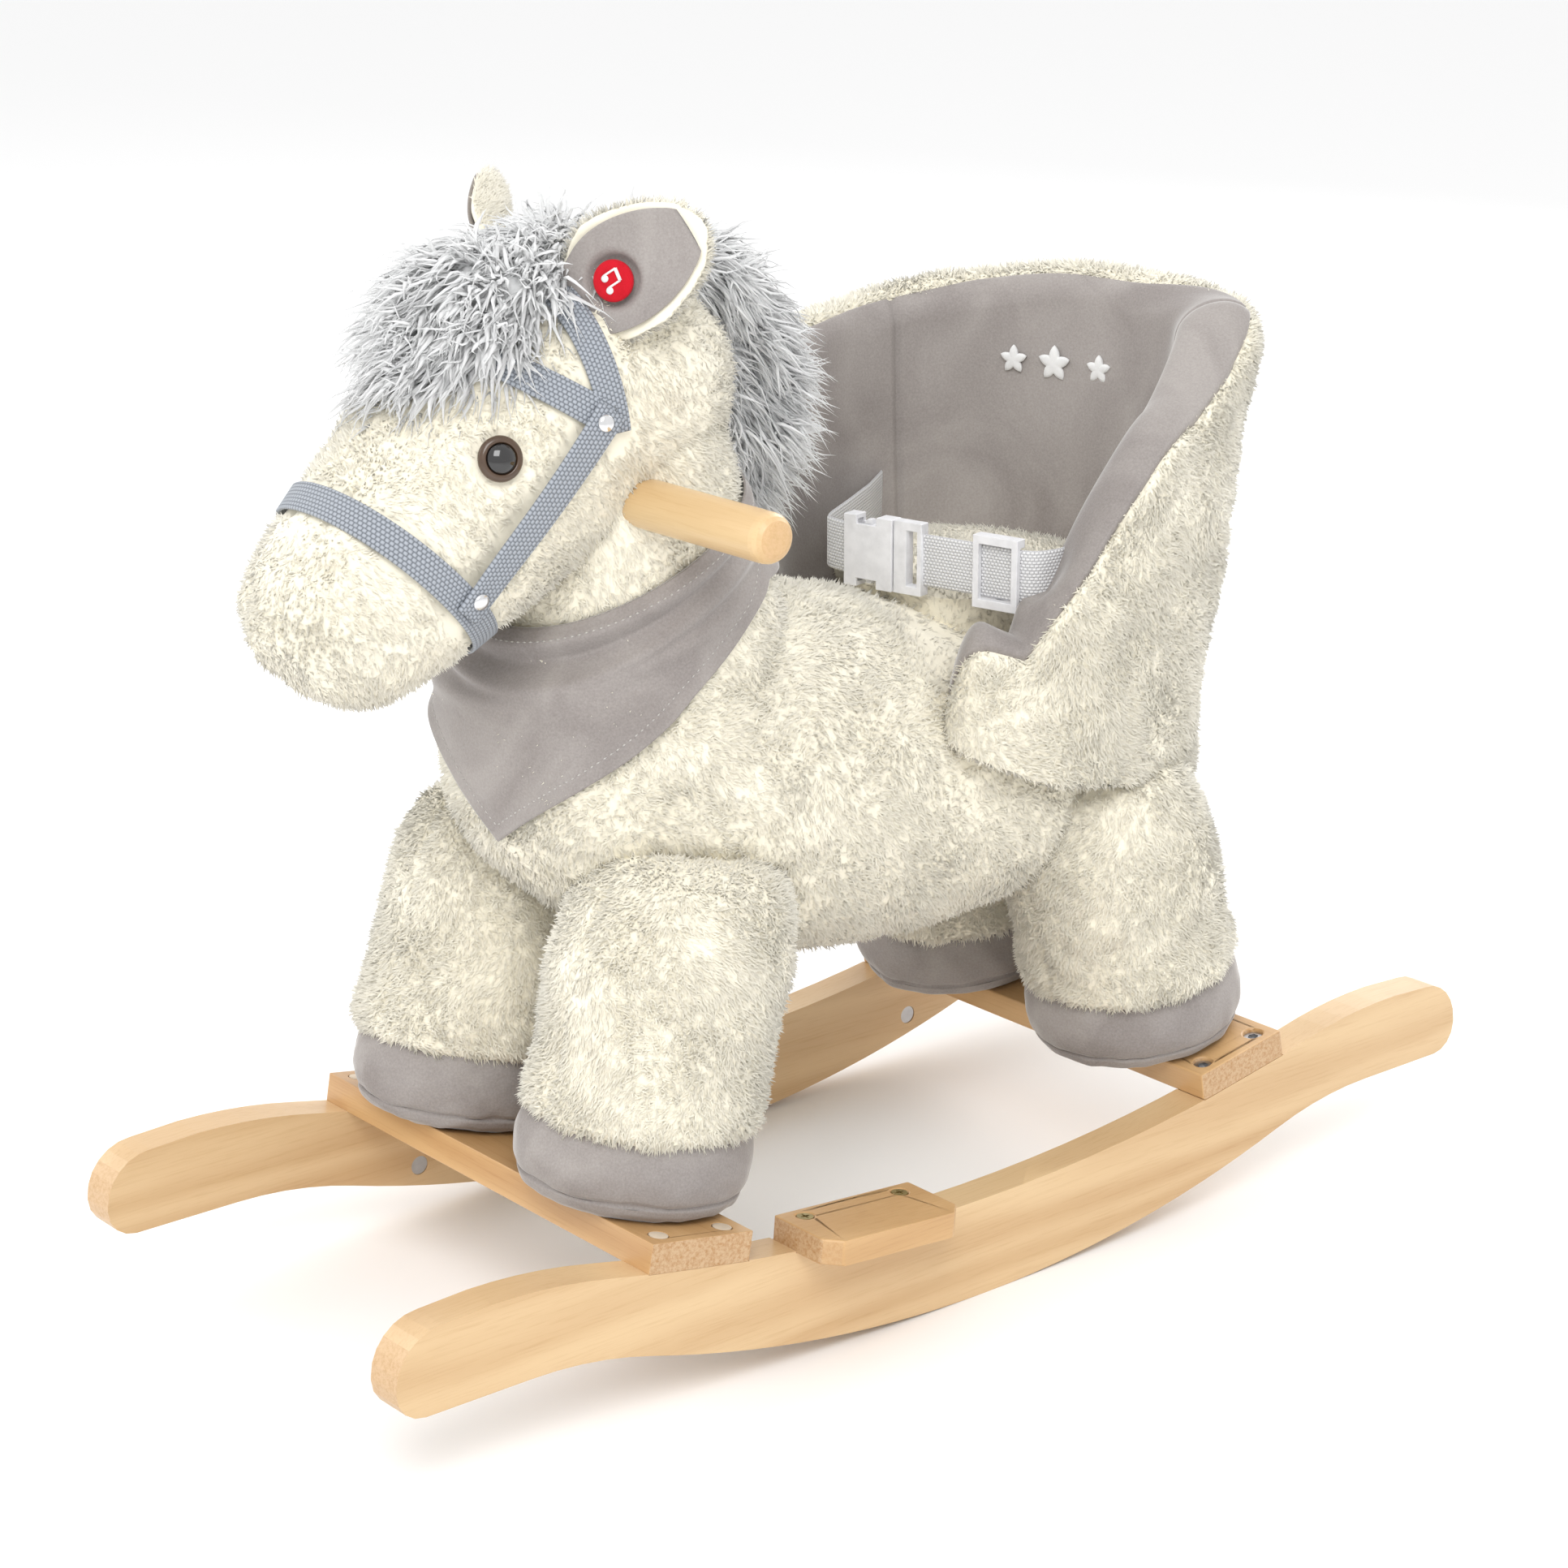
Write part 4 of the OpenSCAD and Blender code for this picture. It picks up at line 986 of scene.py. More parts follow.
BAR_WOOD = Wood("lacquered_bar_wood", GrainWay.X, (0.66, 0.42, 0.20), (0.42, 0.22, 0.08),
                (0.56, 0.38, 0.22))
REST_WOOD = Wood("lacquered_rest_wood", GrainWay.Y, (0.66, 0.42, 0.20), (0.42, 0.22, 0.08),
                 (0.56, 0.38, 0.22))
HANDLE_WOOD = Wood("lacquered_handle_wood", GrainWay.X, (0.76, 0.56, 0.31), (0.58, 0.37, 0.17),
                   (0.64, 0.42, 0.22))
FRAME_WOOD = Wood("lacquered_frame_wood")
GREY_WEB = Webbing("grey_webbing", (0.42, 0.45, 0.50), (0.12, 0.135, 0.155))
WHITE_WEB = Webbing("white_webbing", (0.80, 0.80, 0.80), (0.50, 0.50, 0.52), 620.0, 480.0)
WHITE_PLASTIC = Moulded("white_plastic", (0.78, 0.78, 0.80), 0.35)
BLACK_PLASTIC = Moulded("black_plastic", (0.02, 0.02, 0.02), 0.5)
EYE_BLACK = Moulded("eye_black", (0.004, 0.003, 0.003), 0.1, coat=1.0)
EYE_BROWN = Moulded("eye_brown", (0.07, 0.035, 0.015), 0.3, coat=0.6)
CHROME = Moulded("chrome", (0.82, 0.82, 0.83), 0.14, 1.0)
STEEL = Moulded("zinc_steel", (0.56, 0.56, 0.57), 0.34, 1.0)
BRASSY = Moulded("yellow_zinc", (0.62, 0.52, 0.26), 0.3, 1.0)
FILLER = Moulded("pale_filler", (0.66, 0.55, 0.42), 0.7)


# ---------------------------------------------------------------- the horse's own forms
def tilt_dir(side: float, degrees: float) -> Array:
    """Upward direction of something that leans towards the middle; side is -1 front, 1 rear."""
    a = math.radians(degrees)
    return np.array([0.0, -side * math.sin(a), math.cos(a)])


BAR_TILT = math.degrees(math.asin(182 / 1050))
BAR_SEAT_Z = 67.44
LEG_R = 53.0
BARREL_R = 93.0
EYE_AT = (54.5, -227.0, 441.0)
HEAD_DIR = unit([0, -118, -86])

# Rings of the stuffed bodies: y, z, half width (for the torso a share of BARREL_R), half height.
TORSO_RINGS = np.array([[-202, 288, .22, 20], [-196, 288, .46, 42], [-181, 285, .68, 62],
                        [-157, 279, .84, 76], [-122, 269, .94, 88], [-80, 259, .98, 93],
                        [-30, 250, 1, 93], [20, 243, 1, 88], [70, 237, 1.01, 81],
                        [120, 236, 1, 78], [160, 237, .96, 76], [190, 239, .86, 68],
                        [209, 241, .66, 53], [219, 242, .38, 30]])
NECK_RINGS = np.array([[-112, 300, 78, 82], [-116, 340, 72, 74], [-122, 375, 68, 66],
                       [-130, 405, 66, 62], [-137, 435, 64, 58], [-140, 460, 58, 50]])
HEAD_RINGS = np.array([[-92, 492, 20, 22], [-98, 488, 40, 42], [-112, 478, 57, 57],
                       [-135, 462, 66, 66], [-160, 447, 67, 67], [-186, 433, 64, 64],
                       [-212, 417, 60, 60], [-237, 398, 55, 54], [-261, 380, 51, 49],
                       [-281, 366, 46, 43], [-297, 355, 36, 34], [-307, 348, 20, 19]])


def loft_yz(rows: Array, square: Array, roundness: float) -> Loft:
    """A loft with ring centres in the plane X = 0, from rows of y, z, half width, half height."""
    centres = np.column_stack([np.zeros(len(rows)), rows[:, 0], rows[:, 1]])
    return Loft(centres, rows[:, 2], rows[:, 3], square, roundness)


TORSO = loft_yz(TORSO_RINGS * [1, 1, BARREL_R, 1], [0, 1, 0], 2.15)
NECK = loft_yz(NECK_RINGS, [0, 0, 1], 2.1)
HEAD = loft_yz(HEAD_RINGS, HEAD_DIR, 2.1)


def skin_normal(body: Loft, p: Array) -> Array:
    """Outward direction of a loft's skin near points, from the slope of its level."""
    steps = np.eye(3) * 0.6
    return unit(np.stack([body.level(p + s) - body.level(p - s) for s in steps], 1))


def relief(shape: Shape, lumps: float, clumps: float, seed: int,
           share: Array | float = 1.0) -> Shape:
    """Moves a surface along its normals by broad lumps and small clumps, each times share.

    Args:
        shape: The closed surface.
        lumps: Height of the broad lumps.
        clumps: Height of the small clumps.
        seed: Seed of both.
        share: Share of the height at each point.

    Returns:
        The same shape, moved.
    """
    p = shape.points
    move = (lumps * ripple(p, 95, seed, 2) + clumps * ripple(p, 20, seed + 5, 2)) * share
    shape.points = p + shape.normals() * move[:, None]
    return shape


def near(points: Array, path: Array, reach: float) -> Array:
    """1 at points within reach of a path, falling to 0 at one and a half times reach.

    Args:
        points: Points that are tested.
        path: Points along the path.
        reach: Distance that counts as near.

    Returns:
        One share for each point.
    """
    gap = np.full(len(points), 1e9)
    for start in range(0, len(points), 4000):
        d = points[start:start + 4000, None] - path[None]
        gap[start:start + 4000] = np.sqrt((d**2).sum(2).min(1))
    return 1 - smoothstep(reach, reach * 1.5, gap)


@dataclass
class Plush:
    """A stuffed plush piece: a padded skin with short pile all over it."""

    name: str
    shape: Shape
    nodes: tuple[str, ...]
    pile: int
    comb: tuple[float, float, float] = (0.0, 0.3, -1.0)
    length: float = 5.0
    width: float = 1.25
    seed: int = 1
    keep: Array | None = None
    fill: float = 0.9

    def build(self) -> bpy.types.Object:
        """Joins the skin and its pile into one piece that stands for the CAD nodes.

        Returns:
            The new piece.
        """
        # The skin under the pile gets much of the painted shade of the roots.
        self.shape.painted_light = np.full(len(self.shape.points), 0.35)
        pile = fibres(self.shape, self.pile, self.length, self.width, self.comb, self.seed,
                      self.keep)
        obj = put(self.name, self.shape.joined(pile), FLEECE.material(), ROOT)
        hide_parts(*self.nodes)
        return obj


class SeatFrame:
    """The bucket seat's own frame, turned a little towards the horse's left."""

    TURN = math.radians(14)
    WIDE, DEEP, FRONT, SQUARE = 130.0, 124.0, 132.0, 0.76
    THICK = 31.0

    @classmethod
    def world(cls, p: Array) -> Array:
        """Points of the seat's frame in the horse's frame.

        Args:
            p: Points in the seat's frame.

        Returns:
            The same points, turned by TURN about Z and set back.
        """
        p = np.asarray(p, float)
        c, s = math.cos(cls.TURN), math.sin(cls.TURN)
        return np.stack([p[..., 0] * c - p[..., 1] * s, 105 + p[..., 0] * s + p[..., 1] * c,
                         p[..., 2]], -1)

    @classmethod
    def wall(cls, t: Array, inset: Array, z: Array) -> Array:
        """Point of the wall at angle t in degrees, inset inwards from the outer face.

        Args:
            t: Angles in degrees from the back, positive to the left.
            inset: Distances in from the outer face.
            z: Heights.

        Returns:
            Points a sin(t)^s, b cos(t)^s, z, where a and b are the half sizes less the inset.
        """
        r = np.radians(t)
        taper = (z - 425) * 0.1
        a = cls.WIDE - inset + taper
        b = np.where(np.cos(r) > 0, cls.DEEP + taper * 1.4, cls.FRONT) - inset
        return cls.world(np.stack([a * power(np.sin(r), cls.SQUARE),
                                   b * power(np.cos(r), cls.SQUARE), z + 0 * a], -1))

    @staticmethod
    def rim(t: Array) -> Array:
        """Height of the wall's crest.

        Args:
            t: Angles in degrees.

        Returns:
            Heights, nearly level behind and falling to the barrel in front.
        """
        left = 468 - 0.05 * t - 170 * (np.maximum(0, t - 62) / 78) ** 1.45
        right = 468 + 0.28 * t - 130 * (np.maximum(0, -t - 100) / 40) ** 1.3
        return np.where(t > 0, left, right)

    @staticmethod
    def low(t: Array) -> Array:
        """Height of the wall's foot."""
        return 214 + 52 * (np.abs(t) / 140) ** 2


@dataclass
class Bucket:
    """The padded bucket seat: fleece outside, velour inside, and a pad to sit on."""

    reach: float = 152.0
    cols: int = 220
    end: float = 140.0
    end_run: float = 12.0
    least_wall: float = 62.0
    slider_at: tuple[float, float, float] = (82.0, -68.0, 349.0)
    slider_room: float = 6.5
    slider_reach: float = 27.0
    star_level: float = 421.0

    def profile(self, t: Array, phi: Array, proud: Array) -> Array:
        """Points on the wall's skin.

        Args:
            t: Angles round the seat, one for each column.
            phi: Places on the cross-section: below 0 down the outer face in millimetres / 100,
                0 to pi over the crest, above pi down the inner face in the same way.
            proud: Distance off the skin.

        Returns:
            Grid of points, one row for each phi.
        """
        t, phi = np.meshgrid(t, phi) if np.ndim(phi) == 1 else (np.broadcast_to(t, phi.shape), phi)
        end = np.clip((np.abs(t) - self.end) / self.end_run, 0, 1)
        shrink = np.sqrt(1 - end**2 * 0.998)
        half = SeatFrame.THICK / 2
        r = (half + proud) * shrink
        over = np.clip(phi, 0, np.pi)
        down = (np.maximum(0, -phi) + np.maximum(0, phi - np.pi)) * 100
        floor = SeatFrame.low(t)
        top = floor + (np.maximum(SeatFrame.rim(t), floor + self.least_wall) - floor) * shrink
        z = np.maximum(top - half * shrink + r * np.sin(over) - down, floor)
        return SeatFrame.wall(t, half - r * np.cos(over), z)

    def hollow(self, p: Array) -> Array:
        """Presses the wall back a little where the strap's slider needs room.

        Args:
            p: Points of the wall.

        Returns:
            The points, moved by a bell curve round the slider.
        """
        away = p - SeatFrame.world(np.array(self.slider_at))
        gap = np.linalg.norm(away, axis=-1, keepdims=True)
        fade = np.exp(-((gap / self.slider_reach) ** 2))
        return p + unit(away * [1, 1, 0]) * self.slider_room * fade

    def seam(self, t: Array) -> Array:
        """Where the velour meets the fleece: inside the crest behind, over it on the left."""
        return np.radians(122 - 94 * smoothstep(12, 72, t))

    def shell(self) -> bpy.types.Object:
        """The fleece wall.

        Returns:
            The new piece.
        """
        t = np.linspace(-self.reach, self.reach, self.cols)
        phi = np.concatenate([np.linspace(-2.5, -0.02, 56), np.linspace(0.02, np.pi, 26),
                              np.linspace(np.pi + 0.1, np.pi + 2.5, 12)])
        bare = smoothstep(0.15, -0.15, phi[:, None] - self.seam(t)[None])
        grid = self.hollow(self.profile(t, phi, 2.2 * smoothstep(-2.5, -0.6, phi)[:, None] * bare))
        shape = grid_shape(grid.transpose(1, 0, 2)).outward()
        ph = np.broadcast_to(phi, (self.cols, len(phi))).ravel()
        tt = np.repeat(t, len(phi))
        keep = np.append((ph < self.seam(tt) + 0.12).astype(float), [0.0, 0.0])
        crease = bump_at(tt, -62, 1.2) + bump_at(tt, 64, 1.2)
        move = np.append(-1.6 * crease * (ph < 0), [0.0, 0.0])
        shape.points = shape.points + shape.normals() * move[:, None]
        shape = relief(shape, 1.5, 0.7, 31, keep)
        return Plush("bucket_plush", shape, ("seat_shell",), 84000, (0, 0.1, -1), 4.2, 1.6, 32,
                     keep, 0.8).build()

    def lining(self) -> bpy.types.Object:
        """The velour lining: three padded panels that meet in seams.

        Returns:
            The new piece.
        """
        t = np.linspace(-self.reach + 1, self.reach - 1, 240)
        s = np.linspace(0, 1, 60)[:, None]
        seam = self.seam(t)[None]
        edge = smoothstep(0, 0.06, s)
        phi = seam + (np.pi + 1.7 - seam) * s
        tuck = bump_at(t, -58, 1.1)[None] + bump_at(t, 58, 1.1)[None]
        soft = 1.2 * ripple(np.stack([np.tile(t * 2, 60), np.repeat(s.ravel() * 170, 240),
                                      np.zeros(60 * 240)], 1), 110, 41, 2).reshape(60, 240)
        front = self.profile(t, phi, 0.5 + 3.4 * edge - 3.0 * tuck + soft * edge)
        front = self.hollow(front)
        back = self.hollow(self.profile(t, phi, np.full_like(phi, -1.5)))
        ring = np.concatenate([front, back[::-1]])
        shape = grid_shape(ring.transpose(1, 0, 2)).outward()
        obj = put("seat_lining_velour", shape, VELOUR.material(), ROOT)
        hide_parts("seat_lining")
        return obj

    def pad(self) -> bpy.types.Object:
        """The cream pad inside the bucket, swollen in the middle.

        Returns:
            The new piece.
        """
        t = np.linspace(-180, 180, 120, endpoint=False)
        u = np.linspace(0, 1, 30)[:, None]
        share = np.where(u < 0.3, 0.94 + 0.05 * np.sin(u / 0.3 * np.pi / 2),
                         0.99 * np.cos((u - 0.3) / 0.7 * np.pi / 2) ** 0.8 + 0.01)
        z = 302 + 26 * np.minimum(u / 0.3, 1) + 13 * smoothstep(0.3, 1.0, u)
        edge = SeatFrame.wall(t, 33.0, 330.0 + 0 * t)
        middle = SeatFrame.world(np.array([0.0, 0.0, 0.0]))[:2]
        local = edge[:, :2] - middle
        front = np.cos(np.radians(t)) < 0
        grid = np.empty((30, 120, 3))
        short = np.where(front, 0.62, 1.0)[None, :, None]
        grid[..., :2] = middle + local[None] * share[..., None] * short
        grid[..., 2] = z + 0 * t
        shape = relief(grid_shape(grid).outward(), 1.0, 0.5, 51)
        return Plush("seat_pad_plush", shape, ("seat_pad",), 12000, (0, -0.6, 0.2), 3.4, 1.2, 52,
                     fill=0.8).build()

    def stars(self) -> bpy.types.Object:
        """Three stars sewn on the backrest, in satin stitch.

        Returns:
            The new piece.
        """
        made = []
        for t, size in ((-13.0, 8.0), (-1.5, 10.0), (8.5, 8.0)):
            inset, z = np.array([SeatFrame.THICK + 4.6]), np.array([self.star_level])
            at = SeatFrame.wall(np.array([t]), inset, z)[0]
            aside = SeatFrame.wall(np.array([t + 1.5]), inset, z)[0]
            x_dir = unit(aside - at)
            z_dir = np.array([0.0, 0.0, 1.0])
            out = np.cross(z_dir, x_dir)
            if out @ (SeatFrame.world(np.zeros(3)) - at) < 0:
                out = -out
            k = np.arange(40)
            a = np.pi / 2 + k * np.pi / 20
            spread = 0.5 + 0.5 * np.abs(((k / 4) % 2) - 1)
            ways = x_dir * np.cos(a)[:, None] + z_dir * np.sin(a)[:, None]
            ring = ways * (size * spread)[:, None]
            rows = [at + ring * g + out * h for g, h in
                    ((0.9, -1.6), (1.0, 0.1), (0.96, 0.7), (0.7, 1.1), (0.35, 1.3), (0.02, 1.3))]
            made.append(grid_shape(np.stack(rows)).outward())
        return put("backrest_stars", together(made), WHITE_THREAD.material(), ROOT)

    def build(self) -> None:
        """Makes the shell, lining, pad and stars."""
        for piece in (self.shell, self.lining, self.pad, self.stars):
            piece()


@dataclass
class Leg:
    """A stuffed leg and its velour hoof."""

    name: str
    x: float
    side: float
    seed: int

    def hoof_loft(self) -> Loft:
        """Rings of the hoof, square to the crossbar.

        Returns:
            The loft.
        """
        up = tilt_dir(self.side, BAR_TILT)
        ahead = np.array([0, math.cos(math.radians(BAR_TILT)),
                          self.side * math.sin(math.radians(BAR_TILT))])
        inward = 6.0 if self.side < 0 else 12.0
        sole = (np.array([self.x, self.side * 182, BAR_SEAT_Z]) + 15 * up
                - self.side * inward * ahead)
        s = np.array([0.15, 2.5, 7, 9.5, 12, 19, 29, 38, 44])
        share = np.array([.82, .93, 1.0, 1.015, 1.04, 1.075, 1.06, 1.0, .92])
        return Loft(sole + s[:, None] * up, LEG_R * share, LEG_R * share, up, 2.0)

    def leg_loft(self) -> Loft:
        """Rings of the leg, which leans in towards the belly.

        Returns:
            The loft.
        """
        hoof = self.hoof_loft()
        up, lean = tilt_dir(self.side, BAR_TILT), tilt_dir(self.side, 17)
        cuff = hoof.centres[0] + up * 39.9
        s = np.array([-2.5, 1.5, 9, 30, 60, 88, 106, 120, 128])
        share = np.array([.96, 1.035, 1.055, 1.03, 1.04, 1.02, .94, .78, .5])
        return Loft(cuff + s[:, None] * lean, LEG_R * share, LEG_R * share, up, 2.05)

    def build(self) -> None:
        """Makes the leg with its front seam, and the hoof with its sole seam."""
        cols = 120
        leg = grid_shape(self.leg_loft().surface(70, cols)).outward()
        a = np.linspace(0, 2 * np.pi, cols, endpoint=False)
        seam = np.zeros(cols)
        for at in (1.5 * np.pi, 0.5 * np.pi):
            seam += np.exp(-((((a - at + np.pi) % (2 * np.pi)) - np.pi) * LEG_R / 1.6) ** 2)
        move = np.append(np.tile(-2.2 * seam, 70), [0, 0])
        keep = np.append(np.tile(1 - 0.9 * np.minimum(seam, 1), 70), [0, 0])
        leg.points = leg.points + leg.normals() * move[:, None]
        leg = relief(leg, 1.5, 0.8, self.seed)
        Plush(f"{self.name}_plush", leg, (self.name,), 32000, (0, 0, -1), 4.2, 1.6,
              self.seed + 1, keep).build()

        s = np.concatenate([np.linspace(0, 0.3, 26), np.linspace(0.32, 1, 34)])
        loft = self.hoof_loft()
        c, wide, _ = loft.at(s)
        ring = loft.u * np.cos(a)[:, None] + loft.v * np.sin(a)[:, None]
        depth = s * 44
        wide = wide - 1.5 * bump_at(depth, 9.5, 0.9)
        hoof = relief(grid_shape(c[:, None] + ring[None] * wide[:, None, None]).outward(),
                      0.0, 0.45, self.seed + 2)
        flat = np.append(np.repeat(smoothstep(1.0, 8.0, depth), cols), [0, 1])
        hoof.points = hoof.points + hoof.normals() * (flat * 0.9 * ripple(
            hoof.points, 60, self.seed + 3, 2))[:, None]
        name = self.name.replace("leg", "hoof")
        obj = put(f"{name}_velour", hoof, VELOUR.material(), ROOT)
        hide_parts(name)


class Bridle:
    """Woven straps sewn and riveted round the head."""

    WIDTH, THICK, LIFT = 15.0, 2.0, 1.6
    CENTRE = np.array([0.0, -164.0, 447.0])

    def in_plane(self, centre: Array, normal: Array, start: float, end: float,
                 count: int = 80) -> Array:
        """Skin points of the head in a plane, between two angles from +X round the normal.

        Args:
            centre: A point inside the head.
            normal: Normal of the plane.
            start: First angle in degrees from +X.
            end: Last angle.
            count: How many points.

        Returns:
            Points where rays from the centre leave the head.
        """
        n = unit(normal)
        e1 = unit(np.array([1.0, 0, 0]) - n * n[0])
        e2 = np.cross(n, e1)
        a = np.radians(np.linspace(start, end, count))
        ways = e1 * np.cos(a)[:, None] + e2 * np.sin(a)[:, None]
        origins = np.broadcast_to(np.asarray(centre, float), ways.shape)
        return origins + ways * cast([HEAD], origins, ways, 140, 0.0)[:, None]

    def paths(self) -> dict[str, Array]:
        """Centre lines of the straps on the bare skin.

        Returns:
            Centre line of each strap by name.
        """
        nose = self.in_plane([0, -252, 384], HEAD_DIR + np.array([0, .1, -.1]), -92, 272, 130)
        brow = self.in_plane([0, -184, 459], [0, -.545, -.84], -9, 189, 90)
        crown = self.in_plane([0, -173, 452], [0, -.995, -.1], -4, 184, 90)
        out = {"noseband": nose, "browband": brow, "crown_strap": crown}
        t = np.linspace(-0.06, 1.05, 50)[:, None]
        line = np.array([0, -243, 378.0]) * (1 - t) + np.array([0, -178, 454.0]) * t
        for name, sign in (("cheek_left", 1.0), ("cheek_right", -1.0)):
            ways = np.broadcast_to([sign, 0, 0], line.shape).astype(float)
            out[name] = line + ways * cast([HEAD], line, ways, 110)[:, None]
        return out

    def strap(self, path: Array, lift: float) -> Shape:
        """A band lying on the skin along a path.

        Args:
            path: Points on the bare skin.
            lift: Distance of the band's middle off the skin.

        Returns:
            The closed band.
        """
        n = skin_normal(HEAD, path * 0.995 + self.CENTRE * 0.005)
        for _ in range(3):
            n = unit(n + np.concatenate([n[:1], n[:-1]]) + np.concatenate([n[1:], n[-1:]]))
        return ribbon(path + n * lift, n, self.WIDTH, self.THICK)

    def build(self) -> None:
        """Makes every strap and the rivets."""
        paths = self.paths()
        grey = GREY_WEB.material()
        for name in ("noseband", "browband", "crown_strap"):
            obj = put(f"{name}_web", self.strap(paths[name], self.LIFT + 0.6), grey, ROOT)
            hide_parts(name)
        for name in ("cheek_left", "cheek_right"):
            obj = put(f"{name}_web", self.strap(paths[name], self.LIFT + 2.7), grey, ROOT)
            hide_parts("cheek_straps")
        made = []
        for name in ("cheek_left", "cheek_right"):
            for k in (4, 46):
                at = paths[name][k]
                n = skin_normal(HEAD, at[None])[0]
                top = self.LIFT + 3.8
                made.append(lathe([[-2, 3.4], [0, 4.1], [0.7, 4.1], [1.5, 3.3], [2.0, 1.8],
                                   [2.15, 0.05]], at + n * top, n, 32))
        obj = put("bridle_rivet_caps", together(made), CHROME.material(), ROOT)
        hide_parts("bridle_rivets")


COLLAR_AXIS_Y = -118.0


def bandana_top(p: Array) -> Array:
    """Height of a point over the bandana's collar edge."""
    return p[..., 2] - (372 + 0.554 * (p[..., 1] + 149))


def bandana_hem(p: Array) -> Array:
    """Height of a point over the bandana's hem, which rises evenly round the neck from its tip."""
    return p[..., 2] - hem_height(np.arctan2(p[..., 0], -(p[..., 1] - COLLAR_AXIS_Y)))


def hem_height(a: Array) -> Array:
    """Height of the hem at angle a from the front; the tip hangs a little to the left."""
    return np.minimum(248 + 61.3 * np.abs(a - 0.14), 366)


def under_bandana(p: Array) -> Array:
    """1 at points of the body that the bandana covers."""
    return ((bandana_top(p) < -3) & (bandana_hem(p) > 4) & (p[:, 1] < -40)).astype(float)


@dataclass
class Bandana:
    """A kerchief round the neck: folded at the collar, and pointed on the chest."""

    thick: float = 1.3
    lift: float = 3.0
    rows: int = 72
    cols: int = 220
    hem_row: float = 8.0
    collar_row: float = 6.0

    def skin(self, a: Array, z: Array) -> Array:
        """Points of the bare skin at angle a from the front and height z.

        Args:
            a: Angles from the front.
            z: Heights.

        Returns:
            Points where level rays from the neck's axis leave the body.
        """
        ways = np.stack([np.sin(a), -np.cos(a), 0 * a], -1)
        origins = np.stack([0 * a, COLLAR_AXIS_Y + 0 * a, z], -1)
        gone = cast([TORSO, NECK], origins, ways, 130)
        return origins + ways * gone[:, None]

    def level(self, a: Array, measure: Callable[[Array], Array], z: float) -> Array:
        """Height at which the skin meets an edge, found by stepping towards it.

        Args:
            a: Angles from the front.
            measure: Height of a point over the edge.
            z: First guess.

        Returns:
            One height for each angle.
        """
        z = np.full(len(a), z)
        for _ in range(26):
            z = z - 0.5 * measure(self.skin(a, z))
        return z

    @staticmethod
    def folds(a: Array, fall: Array) -> Array:
        """Rolls of cloth under the collar, and shallow flutes lower down.

        Args:
            a: Angle of each point from the front.
            fall: Its distance below the collar.

        Returns:
            Height of the folds at each point.
        """
        front = 0.35 + 0.65 * np.cos(a / 2) ** 2
        wave = 5 * np.sin(a * 1.5 + 0.6)
        rolls = 1.35 * front * (3.4 * bump_at(fall, 7, 5) + 3.6 * bump_at(fall, 22 + wave, 5)
                                + 2.6 * bump_at(fall, 38 - 1.4 * wave, 6)
                                - 1.4 * bump_at(fall, 14 + wave * 0.5, 2.5)
                                - 1.2 * bump_at(fall, 30, 3))
        lower = smoothstep(45, 90, fall)
        return rolls + lower * 1.1 * np.sin(a * 7 + 0.4) * (1 - 0.4 * np.abs(np.sin(a)))

    def stitches(self, outer: Array, ways: Array, length: Array) -> bpy.types.Object:
        """Two rows of stitches, along the hem and under the collar.

        Args:
            outer: Grid of points of the cloth's outer face.
            ways: Outward direction of each column.
            length: Drop of each column from the collar to the hem.

        Returns:
            The new piece.
        """
        made = []
        k = np.arange(self.cols)
        for share in (1 - self.hem_row / length, self.collar_row / length):
            row = share * (self.rows - 1)
            i = np.clip(row.astype(int), 0, self.rows - 2)
            f = (row - i)[:, None]
            line = outer[i, k] * (1 - f) + outer[i + 1, k] * f
            made.append(dashes(np.concatenate([line, line[:1]]), ways[np.append(k, 0)],
                               3.6, 2.4, 0.9))
        return put("bandana_stitches", together(made), THREAD.material(), ROOT)

    def build(self) -> None:
        """Makes the cloth with its folds, and the stitches along its hem and collar."""
        a = np.linspace(-np.pi, np.pi, self.cols, endpoint=False)
        top = self.level(a, bandana_top, 380.0)
        hem = np.minimum(hem_height(a), top - 26)
        v = np.linspace(0, 1, self.rows)[:, None]
        z = top + (hem - top) * v
        aa = np.broadcast_to(a, z.shape)
        skin = self.skin(aa.ravel(), z.ravel()).reshape(z.shape + (3,))
        axis = np.stack([0 * z, COLLAR_AXIS_Y + 0 * z, z], -1)
        gap = np.linalg.norm(skin - axis, axis=-1)
        smooth = gap.copy()
        for _ in range(14):
            around = (np.roll(smooth, 1, 1) + np.roll(smooth, -1, 1)) / 2
            above = np.vstack([smooth[:1], smooth[:-1]])
            below = np.vstack([smooth[1:], smooth[-1:]])
            down = (above + below) / 2
            smooth = np.maximum(gap, (around + down) / 2)
        flare = 1.6 * smoothstep(0.86, 1.0, v)
        out = smooth + self.lift + self.folds(aa, top - z) + flare
        ways = np.stack([np.sin(aa), -np.cos(aa), 0 * aa], -1)
        outer = axis + ways * out[..., None]
        inner = axis + ways * (out - self.thick)[..., None]
        outer[0, :, 2] -= 0.3
        ring = np.concatenate([outer, inner[::-1]])
        shape = grid_shape(ring, wrap_rows=True, caps=False).outward()
        shape.uv = None
        cloth = put("bandana_cloth", shape, VELOUR.material(), ROOT)
        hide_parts("bandana")
        thread = self.stitches(outer, ways[0], np.abs(hem - top))


